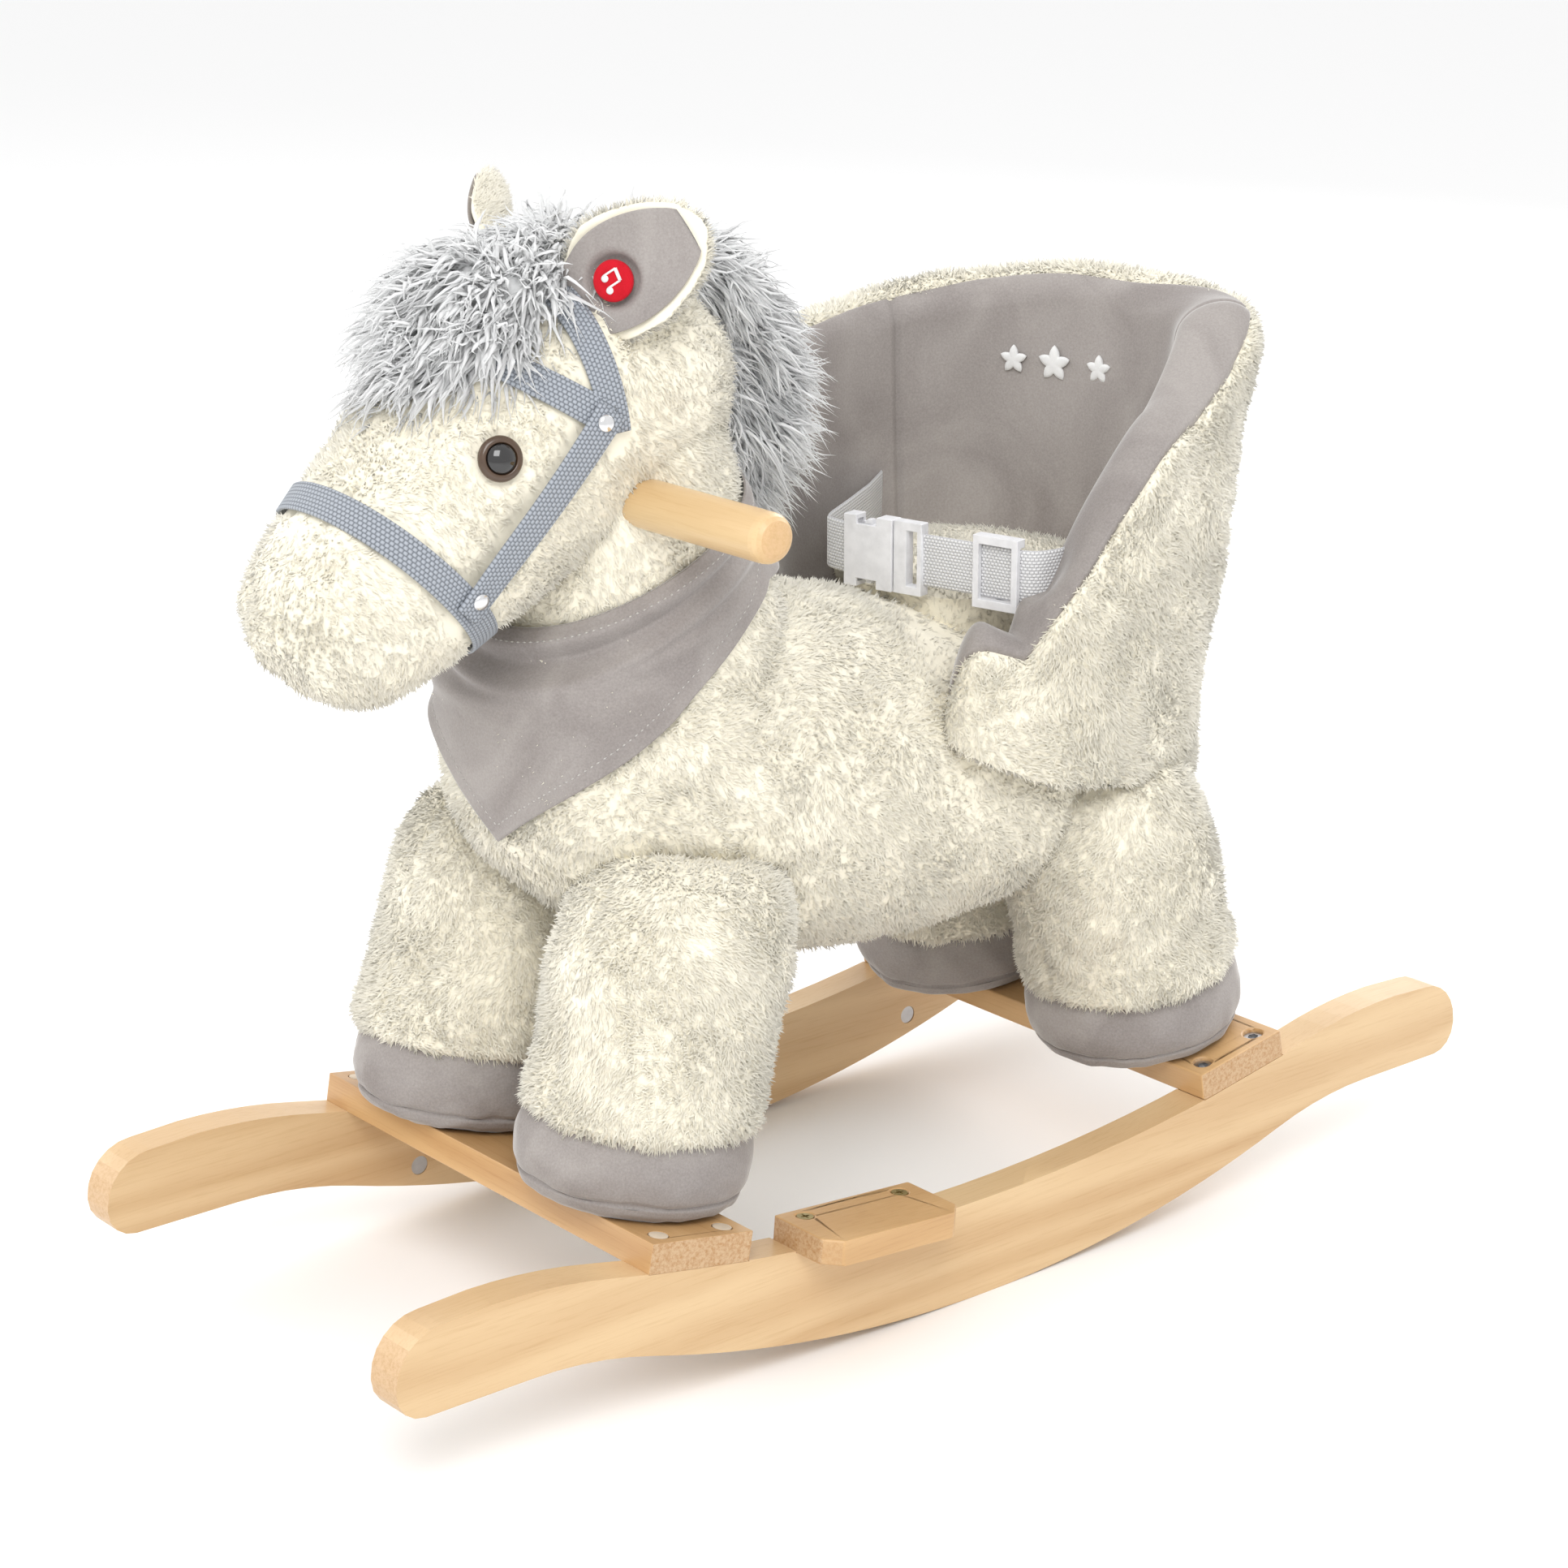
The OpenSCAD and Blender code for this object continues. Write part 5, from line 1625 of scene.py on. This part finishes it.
def dashes(path: Array, out: Array, step: float, long: float, wide: float) -> Shape:
    """A row of stitches along a path: small closed spindles that lie on the cloth.

    Args:
        path: Points of the line.
        out: Outward direction at each point.
        step: Distance from stitch to stitch.
        long: Length of a stitch.
        wide: Thickness of a stitch.

    Returns:
        All stitches in one shape.
    """
    run = np.concatenate([[0], np.cumsum(np.linalg.norm(np.diff(path, axis=0), axis=1))])
    at = np.arange(step / 2, run[-1] - step / 2, step)

    def along(s: Array, rows: Array) -> Array:
        """Rows interpolated at distances s along the path."""
        return np.stack([np.interp(s, run, rows[:, k]) for k in range(3)], 1)

    a, b = along(at - long / 2, path), along(at + long / 2, path)
    mid, up = (a + b) / 2, unit(along(at, np.asarray(out, float)))
    side = unit(np.cross(b - a, up))
    w = wide / 2
    ring = [mid + up * w, mid + side * w, mid - up * w, mid - side * w]
    pts = np.stack([a, *ring, b], 1).reshape(-1, 3)
    one = np.array([[0, 2, 1], [0, 3, 2], [0, 4, 3], [0, 1, 4],
                    [5, 1, 2], [5, 2, 3], [5, 3, 4], [5, 4, 1]])
    faces = (one[None] + (np.arange(len(at)) * 6)[:, None, None]).reshape(-1, 3)
    return Shape(pts, [faces]).outward()


@dataclass
class Ear:
    """A cupped ear: fleece outside, velour inside, and a red press patch with a key under it."""

    sign: float
    word: str
    seed: int
    stations: tuple = ((-12, .5), (0, .72), (14, .94), (28, 1), (42, .9), (54, .68), (62, .42),
                       (67, .12))
    half_width: float = 28.0
    pocket_depth: float = 4.6
    button_at: float = 19.0

    def frame(self) -> tuple[Array, ...]:
        """Base point and the ear's along, side and face directions.

        Returns:
            Base point, along, side and face.
        """
        m = np.array([self.sign, 1, 1])
        along, face = unit([.642, .52, .555]), unit([.557, -.82, .13])
        face = unit(face - along * (face @ along))
        side = np.cross(face, along)
        return np.array([37, -166, 501.0]) * m, along * m, side * m, face * m

    def sheet_points(self, share: float, off: Array, rows: int, cols: int) -> Array:
        """Grid over the ear's leaf, cupped towards its face, off it by a distance.

        Args:
            share: Size of the leaf against the whole ear.
            off: Distance off the middle at each point.
            rows: Points along the ear.
            cols: Points across it.

        Returns:
            Grid of points: base + along s + side w + face (cup + nod + off).
        """
        base, along, side, face = self.frame()
        st = np.array(self.stations)
        s = np.linspace(st[0, 0] + (1 - share) * 22, st[-1, 0] - (1 - share) * 36, rows)
        half = self.half_width * spline(st[:, 0], st[:, 1], s) * share
        w = np.sin(np.linspace(-np.pi / 2, np.pi / 2, cols))
        ww = half[:, None] * w[None]
        cup = 9.0 * (np.abs(ww) / 25) ** 2.2 * smoothstep(-12, 20, s)[:, None]
        pocket = smoothstep(14.0, 10.5, np.hypot(ww, s[:, None] - self.button_at))
        off = off - self.pocket_depth * pocket * (off > 0)
        nod = 2.5 * smoothstep(35, 70, s)[:, None]
        return (base + along * s[:, None, None] + side * ww[..., None]
                + face * (cup + nod + off * np.ones((rows, cols)))[..., None])

    def leaf(self, share: float, front: float, back: float, rows: int = 44,
             cols: int = 40) -> Shape:
        """A closed leaf between two distances off the ear's middle, thinner towards its rim.

        Args:
            share: Size against the whole ear.
            front: Distance of the front face.
            back: Distance of the back face.
            rows: Points along the ear.
            cols: Points across it.

        Returns:
            The closed leaf.
        """
        w = np.sin(np.linspace(-np.pi / 2, np.pi / 2, cols))
        edge = np.sqrt(np.maximum(1 - np.abs(w) ** 2.6, 0.0))[None]
        tip = np.sqrt(np.clip(np.linspace(0, 1, rows) * 6, 0, 1)
                      * np.clip((1 - np.linspace(0, 1, rows)) * 5, 0.02, 1))[:, None]
        mid = (front + back) / 2
        a = self.sheet_points(share, mid + (front - mid) * edge * tip, rows, cols)
        b = self.sheet_points(share, mid + (back - mid) * edge * tip, rows, cols)
        ring = np.concatenate([a, b[:, ::-1][:, 1:-1]], axis=1)
        return grid_shape(ring).outward()

    def build(self) -> None:
        """Makes the ear, its velour, the patch and the white note on it."""
        outer = relief(self.leaf(1.0, 5.6, -6.5), 0.3, 0.5, self.seed)
        base, along, side, face = self.frame()
        keep = ((outer.normals() @ face) < 0.45).astype(float)
        Plush(f"ear_{self.word}_plush", outer, (f"ear_{self.word}",), 7000, (0, 0.5, 0.4), 4.0, 1.1,
              self.seed + 1, keep, 0.5).build()
        inner = put(f"ear_inner_{self.word}_velour", self.leaf(0.84, 7.5, 3.5), VELOUR.material(),
                    ROOT)
        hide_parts(f"ear_inner_{self.word}")
        body = f"{self.word}_ear_button"
        at = base + along * self.button_at
        patch = lathe([[6.2, 9.3], [7.6, 9.5], [8.5, 9.2], [8.9, 8.5], [9.1, 6], [9.25, 3],
                       [9.3, 0.05]], at, face, 56)
        patch.uv = None
        red = put(f"ear_patch_{self.word}", patch, RED_PATCH.material(), body)
        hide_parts(f"ear_button_{self.word}")
        note = []
        top = at + face * 9.15
        for x, y, r in ((-3.1, -3.2, 1.7), (2.6, -2.4, 1.7)):
            head = lathe([[-0.6, r * 0.9], [0.3, r], [0.7, r * 0.7], [0.8, 0.05]],
                         top + side * x * self.sign + along * y, face, 20)
            stem = tube(np.stack([top + side * (x + 1.3) * self.sign + along * yy + face * 0.35
                                  for yy in np.linspace(y, y + 6.6, 6)]), 0.5, 8)
            note += [head, stem]
        beam = tube(np.stack([top + side * xx * self.sign + along * (3.4 + (xx + 1.8) * 0.14)
                              + face * 0.35 for xx in np.linspace(-1.9, 4.0, 6)]), 0.85, 8)
        put(f"ear_note_{self.word}", together([*note, beam]), WHITE_THREAD.material(), body)



@dataclass
class Eye:
    """A glossy black eye in a brown ring."""

    sign: float
    word: str

    def build(self) -> None:
        """Makes the ring and the pupil."""
        m = np.array([self.sign, 1, 1])
        at, out = np.array(EYE_AT) * m, unit([.93, -.3, .22]) * m
        ring = lathe([[-4, 8.6], [0, 10.2], [1.4, 10.4], [2.6, 9.9], [3.4, 8.8], [3.8, 7.6],
                      [3.3, 7.1], [2.0, 6.8], [1.0, 0.05]], at, out, 56)
        a = np.radians(np.linspace(0, 90, 14))
        pupil = lathe(np.column_stack([1.5 + 5.0 * np.sin(a), np.maximum(7.3 * np.cos(a), 0.03)]),
                      at, out, 56)
        for shape in (ring, pupil):
            shape.uv = None
        brown = put(f"eye_ring_{self.word}", ring, EYE_BROWN.material(), ROOT)
        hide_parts(f"eye_{self.word}")
        put(f"eye_pupil_{self.word}", pupil, EYE_BLACK.material(), ROOT)


@dataclass
class Tuft:
    """A tuft of long white fur over a soft core."""

    name: str
    core: Loft
    count: int
    comb: tuple[float, float, float]
    length: float
    width: float
    seed: int
    droop: float = 0.25
    spread: float = 0.55
    shrink: float = 5.0

    def build(self) -> None:
        """Makes the core and its locks as one piece."""
        core = grid_shape(self.core.surface(40, 48, -self.shrink)).outward()
        # The core under the locks gets a little painted shade.
        core.painted_light = np.full(len(core.points), 0.7)
        rng = np.random.default_rng(self.seed)
        tris = np.concatenate([triangles(f) for f in core.faces])
        a, b, c = (core.points[tris[:, k]] for k in range(3))
        area = np.linalg.norm(np.cross(b - a, c - a), axis=1)
        pick = rng.choice(len(tris), self.count, p=area / area.sum())
        w = rng.dirichlet((1, 1, 1), self.count)
        roots = a[pick] * w[:, :1] + b[pick] * w[:, 1:2] + c[pick] * w[:, 2:]
        n = unit((core.normals()[tris[pick]] * w[:, :, None]).sum(1))
        clump = np.stack([ripple(roots, 26, self.seed + k, 2) for k in range(3)], 1)
        ways = unit(n * self.spread + unit(self.comb) * 0.75 + clump * 0.5
                    + rng.normal(size=n.shape) * 0.16)
        length = self.length * rng.uniform(0.55, 1.25, self.count)
        width = self.width * rng.uniform(0.5, 1.3, self.count)
        fur = locks(roots - n * 1.5, ways, length, width, self.droop, self.seed + 9)
        shape = core.joined(fur)
        shape.uv = None
        obj = put(f"{self.name}_fur", shape, LONG_PILE.material(), ROOT)
        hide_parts(self.name)


@dataclass
class Belt:
    """The lap belt: webbing from both sides of the seat."""

    level: float = 349.0
    right: tuple = ((-97, 52), (-91, 49), (-83, 40), (-70, 10), (-57, -28), (-48, -56), (-44, -64),
                    (-32, -68), (-26, -68))
    left: tuple = ((17, -68), (40, -68), (60, -68), (79, -68), (84, -64), (88, -54), (90, 10),
                   (94, 34), (98, 44))

    def webbing(self, path: tuple) -> Shape:
        """A strap standing on its edge along a path of the seat's frame.

        Args:
            path: Corners of the path, seen from above.

        Returns:
            The closed strap.
        """
        p = np.array(path, float)
        run = np.concatenate([[0], np.cumsum(np.linalg.norm(np.diff(p, axis=0), axis=1))])
        s = np.linspace(0, run[-1], 120)
        xy = np.stack([np.interp(s, run, p[:, k]) for k in range(2)], 1)
        for _ in range(6):
            xy[1:-1] = (xy[:-2] + xy[1:-1] * 2 + xy[2:]) / 4
        line = SeatFrame.world(np.column_stack([xy, np.full(len(xy), self.level)]))
        ahead = unit(np.gradient(line, axis=0))
        return ribbon(line, np.cross(ahead, [0, 0, 1.0]), 26.5, 1.6)

    def build(self) -> None:
        """Makes both straps."""
        white = WHITE_WEB.material()
        right = put("belt_right_web", self.webbing(self.right), white, ROOT)
        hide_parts("belt_right")
        left = put("belt_left_web", self.webbing(self.left), white, "")
        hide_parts("belt_left")
        start, end = (SeatFrame.world(np.array([x, y, self.level])) * MM
                      for x, y in ((84, -62), (94, 34)))
        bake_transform(left)


def dress(node: str, finish: Finish, bevel: float = 0.0, segments: int = 3) -> None:
    """Gives a CAD node its finish, and rounds its sharp edges.

    Args:
        node: Name of the CAD node.
        finish: Its finish.
        bevel: Radius of the rounding in millimetres, or 0 for none.
        segments: Steps of the rounding.
    """
    obj = bpy.data.objects[node]
    obj.data.materials.clear()
    obj.data.materials.append(finish.material())
    if bevel:
        weld = obj.modifiers.new("weld", "WELD")
        weld.merge_threshold = 0.00002
        round_off = obj.modifiers.new("round", "BEVEL")
        round_off.width = bevel * MM
        round_off.segments = segments
        round_off.limit_method = "ANGLE"
        round_off.angle_limit = math.radians(40)
        round_off.harden_normals = True
    LOG.info("%s: %s", node, finish.name)


@dataclass
class Woodwork:
    """Rockers, crossbars, footrests, handle and the frame hidden in the plush."""

    looks: dict[str, tuple[Finish, float]] = field(default_factory=lambda: {
        "rocker_left": (ROCKER_WOOD, 2.2), "rocker_right": (ROCKER_WOOD, 2.2),
        "crossbar_front": (BAR_WOOD, 1.2), "crossbar_rear": (BAR_WOOD, 1.2),
        "footrest_left": (REST_WOOD, 1.2), "footrest_right": (REST_WOOD, 1.2),
        "handle": (HANDLE_WOOD, 0.0),
        "leg_posts": (FRAME_WOOD, 0.0), "side_rails": (FRAME_WOOD, 0.0),
        "cross_rails": (FRAME_WOOD, 0.0), "neck_post": (FRAME_WOOD, 0.0),
        "seat_board": (FRAME_WOOD, 0.0), "back_board": (FRAME_WOOD, 0.0),
        "crossbar_screws": (STEEL, 0.0), "barrel_nuts": (STEEL, 0.0),
        "footrest_screws": (BRASSY, 0.0), "leg_bolts": (STEEL, 0.0), "frame_screws": (STEEL, 0.0),
        "sound_box_left": (BLACK_PLASTIC, 0.0), "sound_box_right": (BLACK_PLASTIC, 0.0),
        "buckle_socket": (WHITE_PLASTIC, 0.5), "buckle_tongue": (WHITE_PLASTIC, 0.4),
        "prong_upper": (WHITE_PLASTIC, 0.3), "prong_lower": (WHITE_PLASTIC, 0.3),
        "strap_slider": (WHITE_PLASTIC, 0.4)})

    def fillers(self) -> None:
        """Pale filler over the screws of the front crossbar."""
        up = tilt_dir(-1, BAR_TILT)
        ahead = np.array([0, math.cos(math.radians(BAR_TILT)), -math.sin(math.radians(BAR_TILT))])
        made = []
        for x in (-125.0, 125.0):
            for s in (-19.0, 19.0):
                at = np.array([x, -182, BAR_SEAT_Z]) + 15 * up + s * ahead
                made.append(lathe([[-0.8, 4.6], [0.02, 4.6], [0.12, 4.2], [0.12, 0.05]],
                                  at, up, 28))
        put("screw_fillers", together(made), FILLER.material(), ROOT)

    def build(self) -> None:
        """Dresses every hard CAD node."""
        for node, (finish, bevel) in self.looks.items():
            dress(node, finish, bevel)
        self.fillers()


class Body:
    """The stuffed torso, neck and head."""

    def torso(self) -> None:
        """The barrel, bare of pile where the bandana lies."""
        shape = relief(grid_shape(TORSO.surface(150, 170)).outward(), 1.6, 0.8, 11)
        p = shape.points
        low = (1 - 0.9 * under_bandana(p)) * (1 - 0.8 * ((p[:, 1] > 20) & (p[:, 2] > 300)))
        Plush("torso_plush", shape, ("torso",), 85000, (0, 0.6, -0.6), 4.0, 1.6, 12, low).build()

    @staticmethod
    def seams(p: Array) -> Array:
        """The face's two gusset seams, and the one under its chin.

        Args:
            p: Points of the head's skin.

        Returns:
            1 on a seam and 0 off it, for each point.
        """
        side = np.abs(p[:, 0])
        high = (p - Bridle.CENTRE) @ np.cross(HEAD_DIR, [1.0, 0, 0])
        high = high * np.sign(high[np.argmax(p[:, 2])])
        gusset = np.abs(side - (13 + 13 * smoothstep(-305, -230, p[:, 1])))
        face = np.exp(-(gusset / 1.5) ** 2) * smoothstep(-196, -222, p[:, 1]) * (high > 0)
        chin = np.exp(-(side / 1.6) ** 2) * (high < 0) * smoothstep(-240, -285, p[:, 1])
        return np.minimum(face + chin, 1.0)

    def head(self, straps: dict[str, Array]) -> None:
        """Head and neck, with the face's gusset seams and flat places under the straps.

        Args:
            straps: Centre lines that the pile lies flat under.
        """
        head = grid_shape(HEAD.surface(150, 170)).outward()
        p = head.points
        seam = self.seams(p)
        strap = np.zeros(len(p))
        for path in straps.values():
            strap = np.maximum(strap, near(p, path, 8.2))
        eye = near(p, np.array([EYE_AT, np.multiply(EYE_AT, [-1, 1, 1])]), 10.5)
        head.points = p - head.normals() * (1.8 * seam + 0.9 * strap + 1.2 * eye)[:, None]
        keep = (1 - 0.85 * seam) * (1 - strap) * (1 - eye)
        head = relief(head, 1.1, 0.65, 21)
        neck = relief(grid_shape(NECK.surface(60, 120)).outward(), 0.8, 0.6, 22)
        keep = np.concatenate([keep, 1 - 0.97 * under_bandana(neck.points)])
        both = head.joined(neck)
        Plush("head_plush", both, ("head_neck",), 70000, (0, 0.5, -0.5), 3.6, 1.45, 23,
              keep).build()


class Studio:
    """Floor, light and camera."""

    EYE = np.array([1.3183, -1.1150, 0.7753])
    BACK, RIGHT = (0.7335, -0.610, 0.300), (0.639, 0.769, 0.0)
    LENS, SENSOR = 82.03, 36.0
    LAMPS = (("key", (1.6, -1.5, 2.4), 1.6, 42), ("fill", (-2.2, -1.6, 1.5), 2.2, 20),
             ("rim", (-0.8, 2.4, 1.9), 1.8, 34))

    def light(self, name: str, at: tuple, size: float, energy: float) -> None:
        """A square area light that looks at the horse.

        Args:
            name: Name of the lamp.
            at: Its place.
            size: Side of the square.
            energy: Power in watts.
        """
        data = bpy.data.lights.new(name, "AREA")
        data.energy, data.size = energy, size
        lamp = bpy.data.objects.new(name, data)
        lamp.location = at
        lamp.rotation_euler = (Vector((0, 0, 0.3)) - Vector(at)).to_track_quat("-Z", "Y").to_euler()
        bpy.context.scene.collection.objects.link(lamp)

    def floor(self) -> None:
        """A wide pale floor, which belongs to the stage."""
        mesh = bpy.data.meshes.new("floor")
        mesh.from_pydata([(-9, -9, 0), (9, -9, 0), (9, 9, 0), (-9, 9, 0)], [], [(0, 1, 2, 3)])
        floor = bpy.data.objects.new("floor", mesh)
        bpy.context.scene.collection.objects.link(floor)
        paint = Moulded("floor_paint", (0.93, 0.93, 0.93), 0.85, scuff=0.0).material()
        mesh.materials.append(paint)

    def sky(self) -> None:
        """Even white light from all round."""
        world = bpy.context.scene.world or bpy.data.worlds.new("studio")
        bpy.context.scene.world = world
        world.use_nodes = True
        background = world.node_tree.nodes["Background"]
        background.inputs[0].default_value = (1, 1, 1, 1)
        background.inputs[1].default_value = 1.0
        bpy.context.scene.view_settings.view_transform = "Standard"

    def camera(self) -> None:
        """A long lens that looks at the horse from ahead and to its left."""
        camera = bpy.data.objects.new("camera", bpy.data.cameras.new("camera"))
        bpy.context.scene.collection.objects.link(camera)
        bpy.context.scene.camera = camera
        back, right = Vector(self.BACK).normalized(), Vector(self.RIGHT).normalized()
        turn = Matrix((right, back.cross(right), back)).transposed().to_4x4()
        turn.translation = Vector(self.EYE)
        camera.matrix_world = turn
        camera.data.lens, camera.data.sensor_width = self.LENS, self.SENSOR

    def build(self) -> None:
        """Sets the whole stage."""
        self.floor()
        self.sky()
        for lamp in self.LAMPS:
            self.light(*lamp)
        self.camera()


def main() -> None:
    """Builds the whole horse and its studio."""
    logging.basicConfig(level=logging.INFO, format="%(name)s %(message)s")
    Woodwork().build()
    bridle = Bridle()
    body = Body()
    body.torso()
    body.head(bridle.paths())
    bridle.build()
    legs = (("leg_front_left", 69.0, -1.0), ("leg_front_right", -69.0, -1.0),
            ("leg_rear_left", 69.0, 1.0), ("leg_rear_right", -69.0, 1.0))
    for k, (name, x, side) in enumerate(legs):
        Leg(name, x, side, 60 + 7 * k).build()
    Bucket().build()
    Bandana().build()
    for k, (word, sign) in enumerate((("left", 1.0), ("right", -1.0))):
        Ear(sign, word, 100 + 5 * k).build()
        Eye(sign, word).build()
    forelock = np.array([[-118, 515, 14, 8], [-132, 518, 24, 14], [-155, 513, 32, 24],
                         [-185, 500, 40, 34], [-212, 488, 42, 30], [-232, 474, 30, 20],
                         [-245, 464, 14, 9]])
    Tuft("forelock", loft_yz(forelock, unit([0, -.92, -.39]), 2.0), 5600, (0.25, -0.75, -0.35),
         26.0, 2.6, 201).build()
    mane = np.array([[-60, 392, 18, 16], [-56, 412, 30, 26], [-58, 445, 36, 30], [-70, 480, 38, 30],
                     [-92, 508, 36, 26], [-108, 522, 24, 14]])
    Tuft("mane", loft_yz(mane, unit([0, -.25, .97]), 2.0), 5600, (0.1, 0.75, -0.5), 26.0, 2.6,
         211).build()
    tail = np.array([[222, 140, 8, 6], [230, 152, 15, 9], [236, 174, 17, 10], [237, 196, 13, 9],
                     [232, 208, 8, 7]])
    Tuft("tail", loft_yz(tail, [0, 0, 1], 2.0), 1800, (0, 0.15, -1), 30.0, 2.6, 221, spread=0.35,
         shrink=3.0).build()
    Belt().build()
    Studio().build()


if __name__ == "__main__":
    main()
